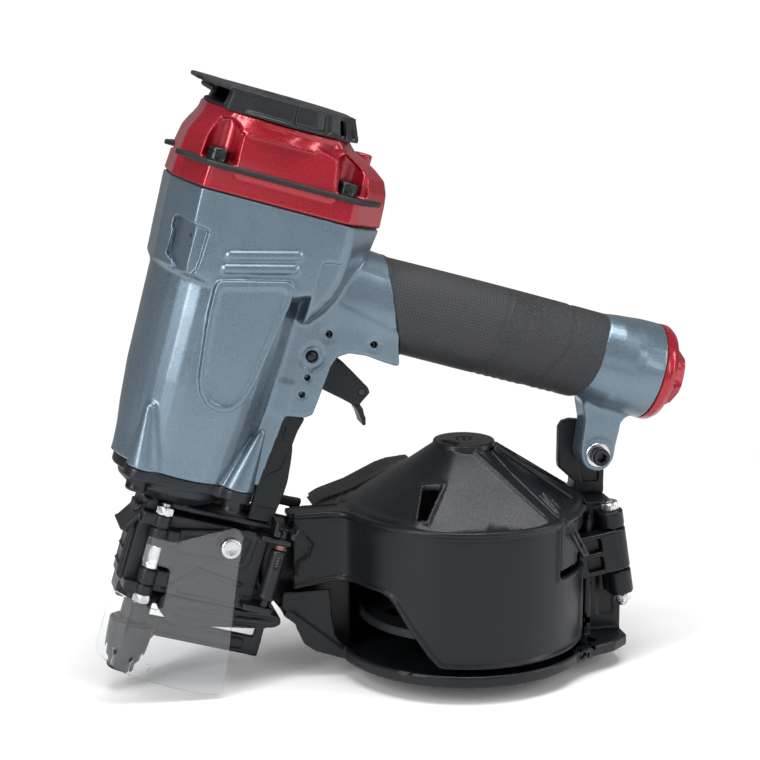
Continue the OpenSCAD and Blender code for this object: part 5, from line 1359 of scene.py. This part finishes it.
def build_door():
    f = Field((-8, -25.5, 44), (62, -4.5, 86), 0.5)
    f.add(slab([(-4.1, 44.8), (50, 44.8), (50, 83.6), (2, 83.6), (-4.1, 80)], -12.3, -5.1, 0.6, 0.8))
    # raised outer panel, its top edge sloping up to a rounded corner
    f.add(slab([(-2.4, 58), (-2.4, 77.2), (6, 77.6), (40, 84.4), (44.6, 84.4), (46.2, 82.4), (45.2, 68), (42.4, 65.4), (14, 64), (8, 58)], -14.9, -11, 0.8, 1.2), 0.5)
    f.cut(less(slab([(9, 66.6), (41.6, 68.6), (42.8, 80.8), (40, 81.6), (9, 75.6)], -20, -14.45, 0.2, 1.0), slab([(10, 67.5), (40.8, 69.5), (42, 80), (39.6, 80.7), (10, 74.9)], -20, -14, 0.1, 0.6)), 0.1)
    for a, b in ((49.3, 57), (69.3, 77.5)):
        f.add(cyl("z", (HX, HY), 4.6, a, b, 0.5), 0.3, lo=(-9, -24, a - 2), hi=(4, -10, b + 2))
        f.add(box((HX, -19, a), (8, -12, b), 0.9), 0.8, lo=(-9, -24, a - 2), hi=(12, -8, b + 2))
    f.add(cyl("y", (31.5, 77), 5.2, -24.6, -12, 0.4), 0.8, lo=(24, None, 70), hi=(38, -8, 84))
    for a, b in ((47, 50), (82.4, 85)):
        f.add(box((46, -21, a), (61, -8, b), 0.6), 0.4, lo=(42, None, a - 2), hi=(None, -5, b + 2))
    f.add(box((46, -12.4, 47), (52, -8, 85), 0.6), 0.4)
    # triangular web and ribs below, seen through the shield
    f.add(ball_cone((8, -12.6, 47), (22, -12.6, 60), 1.0, 1.0), 0.6)
    f.add(ball_cone((22, -12.6, 60), (44, -12.6, 57), 1.0, 1.0), 0.6)
    f.cut(slab([(13, 46.6), (44, 46.6), (43, 55.2), (23, 58.0)], -20, -11.4, 0.2, 1.0), 0.3)
    f.cut(cyl("z", (HX, HY), 2.57, 30, 100, 0.05), 0)
    f.cut(cyl("z", (57, -17), 2.07, 40, 92, 0.05), 0)
    f.cut(cyl("y", (31.5, 77), 2.03, -40, -18, 0.05), 0)
    f.cut(box((2, -6.6, 60), (46, -4, 78), 0.2), 0)
    f.clip(lambda x, y, z: z - 85.1 + 0 * x + 0 * y)
    done(f.mesh("nose_door_casting", DRIVE, 0.5), "door", PHOS, "black_steel", "nose_door")
    # hinge stud, nuts and spacer
    bm = bmesh.new()
    m = DRIVE @ Matrix.Translation((HX, HY, 0))
    prof = [(0, 38.65), (1.6, 38.65), (2.4, 39.3), (2.45, 39.8), (2.45, 88.0)]
    for k in range(2):
        prof += [(2.1, 88.3 + 0.8 * k), (2.1, 88.45 + 0.8 * k), (2.45, 88.7 + 0.8 * k), (2.45, 88.9 + 0.8 * k)]
    lathe(bm, prof + [(1.8, 89.95), (0, 89.95)], 32, m)
    done(from_bm("door_hinge_stud", bm, None, 40), "gun", ZINC, "zinc", "door_hinge_bolt")
    bm = bmesh.new()
    for z0 in (39.8, 84.3):
        hex_nut(bm, 4.6, 3.9, 2.5, m @ Matrix.Translation((0, 0, z0)) @ Matrix.Rotation(0.3, 4, "Z"))
    done(from_bm("door_hinge_lock_nuts", bm, None, 40), "gun", ZINC, "zinc", "door_hinge_nuts")
    bm = bmesh.new()
    lathe(bm, [(2.58, 57.45), (3.9, 57.45), (4.2, 57.8), (4.2, 68.6), (3.9, 68.95), (2.58, 68.95)], 48, m, closed=True)
    done(from_bm("door_spacer_sleeve", bm, None, 40), "door", CHROME, "chrome", "door_spacer")
    # rivet of the shield: bright flange with a slightly sunk middle
    m = DRIVE @ Matrix.Translation((31.5, -27.7, 77)) @ Matrix.Rotation(-math.pi / 2, 4, "X")
    bm = bmesh.new()
    lathe(bm, [(0, 0.35), (2.5, 0.3), (2.75, 0.1), (3.3, 0.0), (4.1, 0.1), (4.75, 0.6), (4.8, 1.1), (4.6, 1.45), (2.0, 1.5), (2.0, 8.8), (1.6, 9.1), (0, 9.1)], 48, m)
    done(from_bm("shield_rivet_flanged", bm, None, 40), "door", ZINC, "zinc", "shield_rivet")
    # latch: a tube with a slot over its spring
    m = DRIVE @ Matrix.Translation((57, -17, 0))
    f = Field((52.5, -21.6, 46), (61.5, -12.4, 89), 0.32)
    f.add(turned("z", (57, -17), [(0, 53.6), (3.5, 53.6), (4.1, 54.3), (4.1, 78.4), (3.6, 79.0), (0, 79.0)], 0.1))
    f.add(turned("z", (57, -17), [(0, 46.4), (1.7, 46.4), (2.0, 46.8), (2.0, 88.3), (1.6, 88.8), (0, 88.8)], 0.05))
    f.cut(slab([(55.6, 70), (58.4, 70), (58.4, 76.4), (55.6, 76.4)], -30, -19.6, 0.1, 1.3), 0.15)
    f.add(lambda x, y, z: np.hypot(np.hypot(x - 57, y + 17) - 4.1, z - 55.2) - 0.45, 0.2)
    done(f.mesh("door_latch_tube", DRIVE, 0.6), "latch", PHOS, "black_steel", "door_latch")
    pts = []
    for k in range(0, 49):
        a = 2 * math.pi * k / 12
        pts.append((57 + 2.2 * math.cos(a), -17 + 2.2 * math.sin(a) - 0.25, 70.4 + 5.6 * k / 48))
    done(wire("latch_slot_coil", pts, 0.28, DRIVE), "latch", SPRING, "copper_spring")


def build_shield():
    """clear sheet bent round the front of the nose, with its strap, window and relief slits"""
    out = [(-8.4, 74.2), (5, 74), (27.2, 85.6), (30.0, 86.9), (33.2, 86.6), (35.8, 84.2), (36.8, 79), (37.9, 67.2), (42.4, 39.5), (47.0, 7.4), (46.0, 4.4), (36.7, 3.2), (23.8, 3.2), (14, 3.8), (-0.3, 5.4), (-9.8, 8), (-17.0, 12), (-18.0, 15), (-18.0, 42.0), (-15.9, 43.4), (4.2, 39.7), (7.3, 41.6), (6.0, 60.0), (3.2, 61.2), (-8.4, 61.2)]
    f = Field((-19, -27, 2.5), (48.5, -17.5, 88), 0.28)
    kx, ky = math.cos(math.radians(153)), math.sin(math.radians(153))

    def sheet(x, y, z):
        a = np.where(x > -6, np.abs(y + 25.45), np.hypot(x + 6, y + 25.45))
        t = np.clip((x + 6) * kx + (y + 25.45) * ky, 0, 14.6)
        b = np.hypot(x + 6 - t * kx, y + 25.45 - t * ky)
        return smin(a + 0 * z, b + 0 * z, 1.2) - 0.62
    f.add(lambda x, y, z: smax(sheet(x, y, z), poly(x, z, out, 1.0) + 0 * y, 0.35))
    for hx, hz, bx, bz in ((-9.0, 14.8, -9.0, 4.0), (-1.0, 13.0, -1.2, 2.0), (8.2, 11.4, 8.2, 1.0), (17.6, 10.3, 17.6, 1.0)):
        f.cut(lambda x, y, z, hx=hx, hz=hz: np.hypot(x - hx, z - hz) - 1.2 + 0 * y, 0.15, lo=(hx - 4, None, hz - 4), hi=(hx + 4, None, hz + 4))
        f.cut(lambda x, y, z, hx=hx, hz=hz: np.maximum(np.abs(x - hx) - 0.32, z - hz) + 0 * y, 0, lo=(hx - 3, None, None), hi=(hx + 3, None, hz + 1))
    f.cut(cyl("y", (31.5, 77), 2.03, -40, -10, 0.05), 0, lo=(26, None, 72), hi=(37, None, 82))
    done(f.mesh("nose_shield_sheet", DRIVE, 0.6), "door", CLEAR, "clear_plastic", "nose_shield")


def build_contact():
    bm = bmesh.new()
    lathe(bm, [(4.95, 0.4), (5.3, 0.0), (6.2, 0.0), (6.6, 0.4), (6.6, 3.6), (7.2, 4.6), (8.4, 6.2), (8.8, 12), (9.2, 18), (9.55, 25.6), (9.3, 26), (7.45, 26), (7.4, 25.6), (7.4, 9.8), (7.2, 9.5), (4.95, 9.5)], 72, DRIVE, closed=True)
    done(from_bm("contact_tip_funnel", bm, None, 34), "contact", PHOS, "black_steel", "contact_tip")
    f = Field((-11.8, -11.8, 9.0), (69.5, 17.2, 156.5), 0.62)
    f.add(turned("z", (0, 0), [(0, 9.4), (9.95, 9.4), (10.5, 14), (10.95, 19), (11.3, 24.4), (11.0, 25.0), (0, 25.0)], 0.2), 0, lo=(-14, -14, None), hi=(14, 14, 28))
    f.add(box((6, 8.5, 15), (14, 17, 20), 0.6), 1.0, lo=(2, 4, None), hi=(18, None, 26))
    f.add(box((10, 13.6, 15), (69, 16.6, 25), 0.9), 0.8, lo=(6, 10, None), hi=(None, None, 30))
    f.add(box((64.4, 13.6, 15), (69, 16.6, 99), 0.9), 0.8, lo=(60, 10, None), hi=(None, None, 102))
    f.add(box((41.5, 13.6, 94), (69, 16.6, 99), 0.9), 0.8, lo=(38, 10, 90), hi=(None, None, 102))
    f.add(box((41.5, -2.5, 94), (46.5, 16.6, 99), 0.9), 0.5, lo=(38, -6, 90), hi=(50, None, 102))
    f.add(cyl("z", (44, 0), 3, 94, 156, 0.6), 0.4, lo=(38, -6, 90), hi=(50, 6, None))
    f.add(cyl("z", (44, 0), 4.7, 108, 111, 0.4), 0.2, lo=(38, -6, 104), hi=(50, 6, 114))
    f.cut(slab([(16, 17.4), (60, 17.4), (60, 22.6), (16, 22.6)], 10, 14.4, 0.2, 1.0), 0.3, lo=(12, 10, None), hi=(64, None, 28))
    f.cut(cyl("z", (0, 0), 9.7, 5, 30, 0.1), 0, lo=(-12, -12, None), hi=(12, 12, 30))
    for z0 in (100.2, 102.0, 103.8):
        f.cut(lambda x, y, z, z0=z0: np.hypot(np.hypot(x - 44, y) - 3.1, z - z0) - 0.4, 0.1, lo=(38, -6, 98), hi=(50, 6, 108))
    done(f.mesh("contact_arm_forging", DRIVE, 0.5), "contact", PHOS, "black_steel", "contact_arm")
    bm = bmesh.new()
    n = 72
    m = DRIVE @ Matrix.Translation((44, 0, 101))
    rows = []
    for r, z, wob in ((3.07, 0.3, 0), (3.4, 0.0, 0), (6.6, 0.0, 0), (7.15, 0.5, 0.7), (7.2, 0.9, 0.8), (7.2, 4.6, 0.8), (7.15, 5.0, 0.7), (6.6, 5.5, 0), (3.4, 5.5, 0), (3.07, 5.2, 0)):
        ring = []
        for i in range(n):
            a = 2 * math.pi * i / n
            q = r - wob * (0.5 + 0.5 * math.cos(12 * a)) ** 2
            ring.append(bm.verts.new(m @ Vector((q * math.cos(a), q * math.sin(a), z))))
        rows.append(ring)
    for a, b in zip(rows, rows[1:] + rows[:1]):
        for i in range(n):
            bm.faces.new((a[i], b[i], b[(i + 1) % n], a[(i + 1) % n]))
    done(from_bm("depth_dial_fluted", bm, None, 40), "dial", PLAST2, "black_plastic", "depth_dial")
    # cover of the arm
    f = Field((36, -13.8, 89.5), (53.5, 13.8, 145), 0.42)
    side = [(36.6, 144.4), (37.2, 125), (37.0, 112), (38.0, 104), (38.4, 90), (50.4, 90), (52.4, 106), (52.6, 112), (51.6, 121), (50.6, 127.4), (49.8, 130.4), (50.4, 137), (52.2, 144.4)]
    f.add(slab(side, -13.4, 13.4, 0.7, 0.8))
    f.cut(box((30, -11.2, 80), (49, 11.2, 150), 0.4), 0.2)
    f.add(box((39, -11.4, 133.8), (49.4, 11.4, 136), 0.2), 0.2)
    f.cut(box((30, -3.5, 130), (44, 3.5, 140), 0.1), 0)
    f.cut(cyl("z", (44, 0), 3.5, 130, 140, 0.05), 0)
    f.cut(box((30, 5, 80), (48, 20, 109), 0.3), 0.2)
    f.cut(box((45, -9, 99), (60, 9, 115.6), 0.5), 0.2)
    f.cut(cyl("z", (0, 0), 36.4, 90, 150, 0.05), 0)
    # step line and two more cut lines on the near face
    f.cut(slab([(38.5, 139.4), (44.2, 139.4), (44.2, 132.6), (47.2, 132.6), (47.2, 131.9), (43.4, 131.9), (43.4, 138.6), (38.5, 138.6)], 13.0, 15, 0.05), 0.1, sym=True)
    f.cut(slab([(40.6, 112), (47.5, 118), (48.4, 126), (47.8, 126), (46.8, 118.5), (40.6, 113)], 13.0, 15, 0.05), 0.1, sym=True)
    f.cut(slab([(39.2, 97.0), (51.2, 97.0), (51.2, 97.7), (39.2, 97.7)], 13.0, 15, 0.05), 0.1, sym=True)
    done(f.mesh("arm_cover_moulding", DRIVE, 0.5), "gun", PLAST, "black_plastic", "arm_cover")


build_base()
build_cover()
build_magazine_metal()
build_nose()
build_door()
build_shield()
build_contact()



# ------------------------------------------------------------------ CAD parts that stay, with their finish
BY_SLOT = {"body_paint": PAINT, "red_paint": RED, "red_anodised": RED, "seal_rubber": RUBBER, "black_screw": BLUED, "black_plastic": PLAST,
           "magazine_plastic": PLAST, "trigger_plastic": PLAST, "white_nylon": BUFF, "spring_steel": CHROME, "copper_spring": SPRING,
           "aluminium_part": CAST, "tool_steel": CHROME, "black_steel": PHOS, "dark_pin": BLUED, "zinc": ZINC, "chrome": CHROME,
           "clear_plastic": CLEAR, "grip_rubber": RUBBER}
slot_of = {}
for n in frame["record"]["nodes"] if isinstance(frame["record"].get("nodes"), list) else []:
    slot_of[n.get("name")] = n.get("material_slot") or n.get("material")
for name, ob in frame["nodes"].items():
    if ob.hide_render:
        continue
    s = slot_of.get(name)
    mat = BY_SLOT.get(s)
    if mat is None:
        own = ob.data.materials[0].name.split(".")[0] if ob.data.materials else ""
        mat = BY_SLOT.get(own, PHOS)
    ob.data.materials.clear()
    ob.data.materials.append(mat)

# ------------------------------------------------------------------ stage, light, camera
floor = bpy.data.meshes.new("floor")
floor.from_pydata([(-1.6, -1.2, 0), (1.8, -1.2, 0), (1.8, 0.36, 0), (-1.6, 0.36, 0)], [], [(0, 1, 2, 3)])
floor_ob = bpy.data.objects.new("floor", floor)
floor_ob.location.z = cad_box[0][2] - 0.0005         # the nose and the shield reach lower than the magazine
SCENE.collection.objects.link(floor_ob)
fm = Mat("pale_floor")
fm.set(Roughness=0.6, Specular_IOR_Level=0.25)
fn = fm.noise(1.2, 2)
fm.link(fm.mix(fm.mapr(fn, 0.3, 0.7, 0, 1), (0.90, 0.90, 0.90), (0.93, 0.93, 0.93)), fm.b.inputs["Base Color"])
floor.materials.append(fm.m)

world = bpy.data.worlds.new("studio")
SCENE.world = world
world.use_nodes = True
bg = world.node_tree.nodes["Background"]
bg.inputs[0].default_value = (1, 1, 1, 1)
bg.inputs[1].default_value = 1.0
lp = world.node_tree.nodes.new("ShaderNodeLightPath")
st = world.node_tree.nodes.new("ShaderNodeMapRange")
for i, v in zip((1, 2, 3, 4), (0, 1, 0.27, 1.02)):
    st.inputs[i].default_value = v
world.node_tree.links.new(lp.outputs["Is Camera Ray"], st.inputs[0])
world.node_tree.links.new(st.outputs[0], bg.inputs[1])


def area(name, loc, aim, size, size_y, power, colour=(1, 1, 1)):
    li = bpy.data.lights.new(name, "AREA")
    li.shape = "RECTANGLE"
    li.size, li.size_y, li.energy, li.color = size, size_y, power, colour
    ob = bpy.data.objects.new(name, li)
    ob.location = loc
    ob.rotation_euler = (Vector(aim) - Vector(loc)).to_track_quat("-Z", "Y").to_euler()
    SCENE.collection.objects.link(ob)
    return ob


area("key_left", (-1.15, -0.75, 0.75), (-0.05, 0, 0.14), 0.24, 1.2, 15)
area("top", (0.0, -0.25, 1.4), (0.0, 0.0, 0.1), 1.0, 0.8, 20)
area("right", (1.2, -0.55, 0.55), (0.05, 0, 0.12), 0.2, 0.9, 6.5)
area("strip", (0.75, -1.25, 0.75), (0.0, 0, 0.16), 0.10, 1.0, 3.2)
area("front_low", (-0.25, -1.6, 0.35), (0, 0, 0.12), 1.1, 0.3, 1.6)

cam = bpy.data.cameras.new("camera")
cam.sensor_width = 36
cam.lens = 2237.64 / 760 * 36
cam_ob = bpy.data.objects.new("camera", cam)
R = Vector((0.97383015, -0.22724782, 0.0036415))
U = Vector((0.04718205, 0.21781162, 0.97484971))
W = Vector((0.22232563, 0.94916623, -0.22283354))
cam_ob.matrix_world = Matrix(((R.x, U.x, -W.x, -0.28614), (R.y, U.y, -W.y, -1.03883), (R.z, U.z, -W.z, 0.3839), (0, 0, 0, 1)))
cam.clip_start, cam.clip_end = 0.01, 50
SCENE.collection.objects.link(cam_ob)
SCENE.camera = cam_ob
SCENE.view_settings.view_transform = "Standard"
SCENE.view_settings.look = "None"
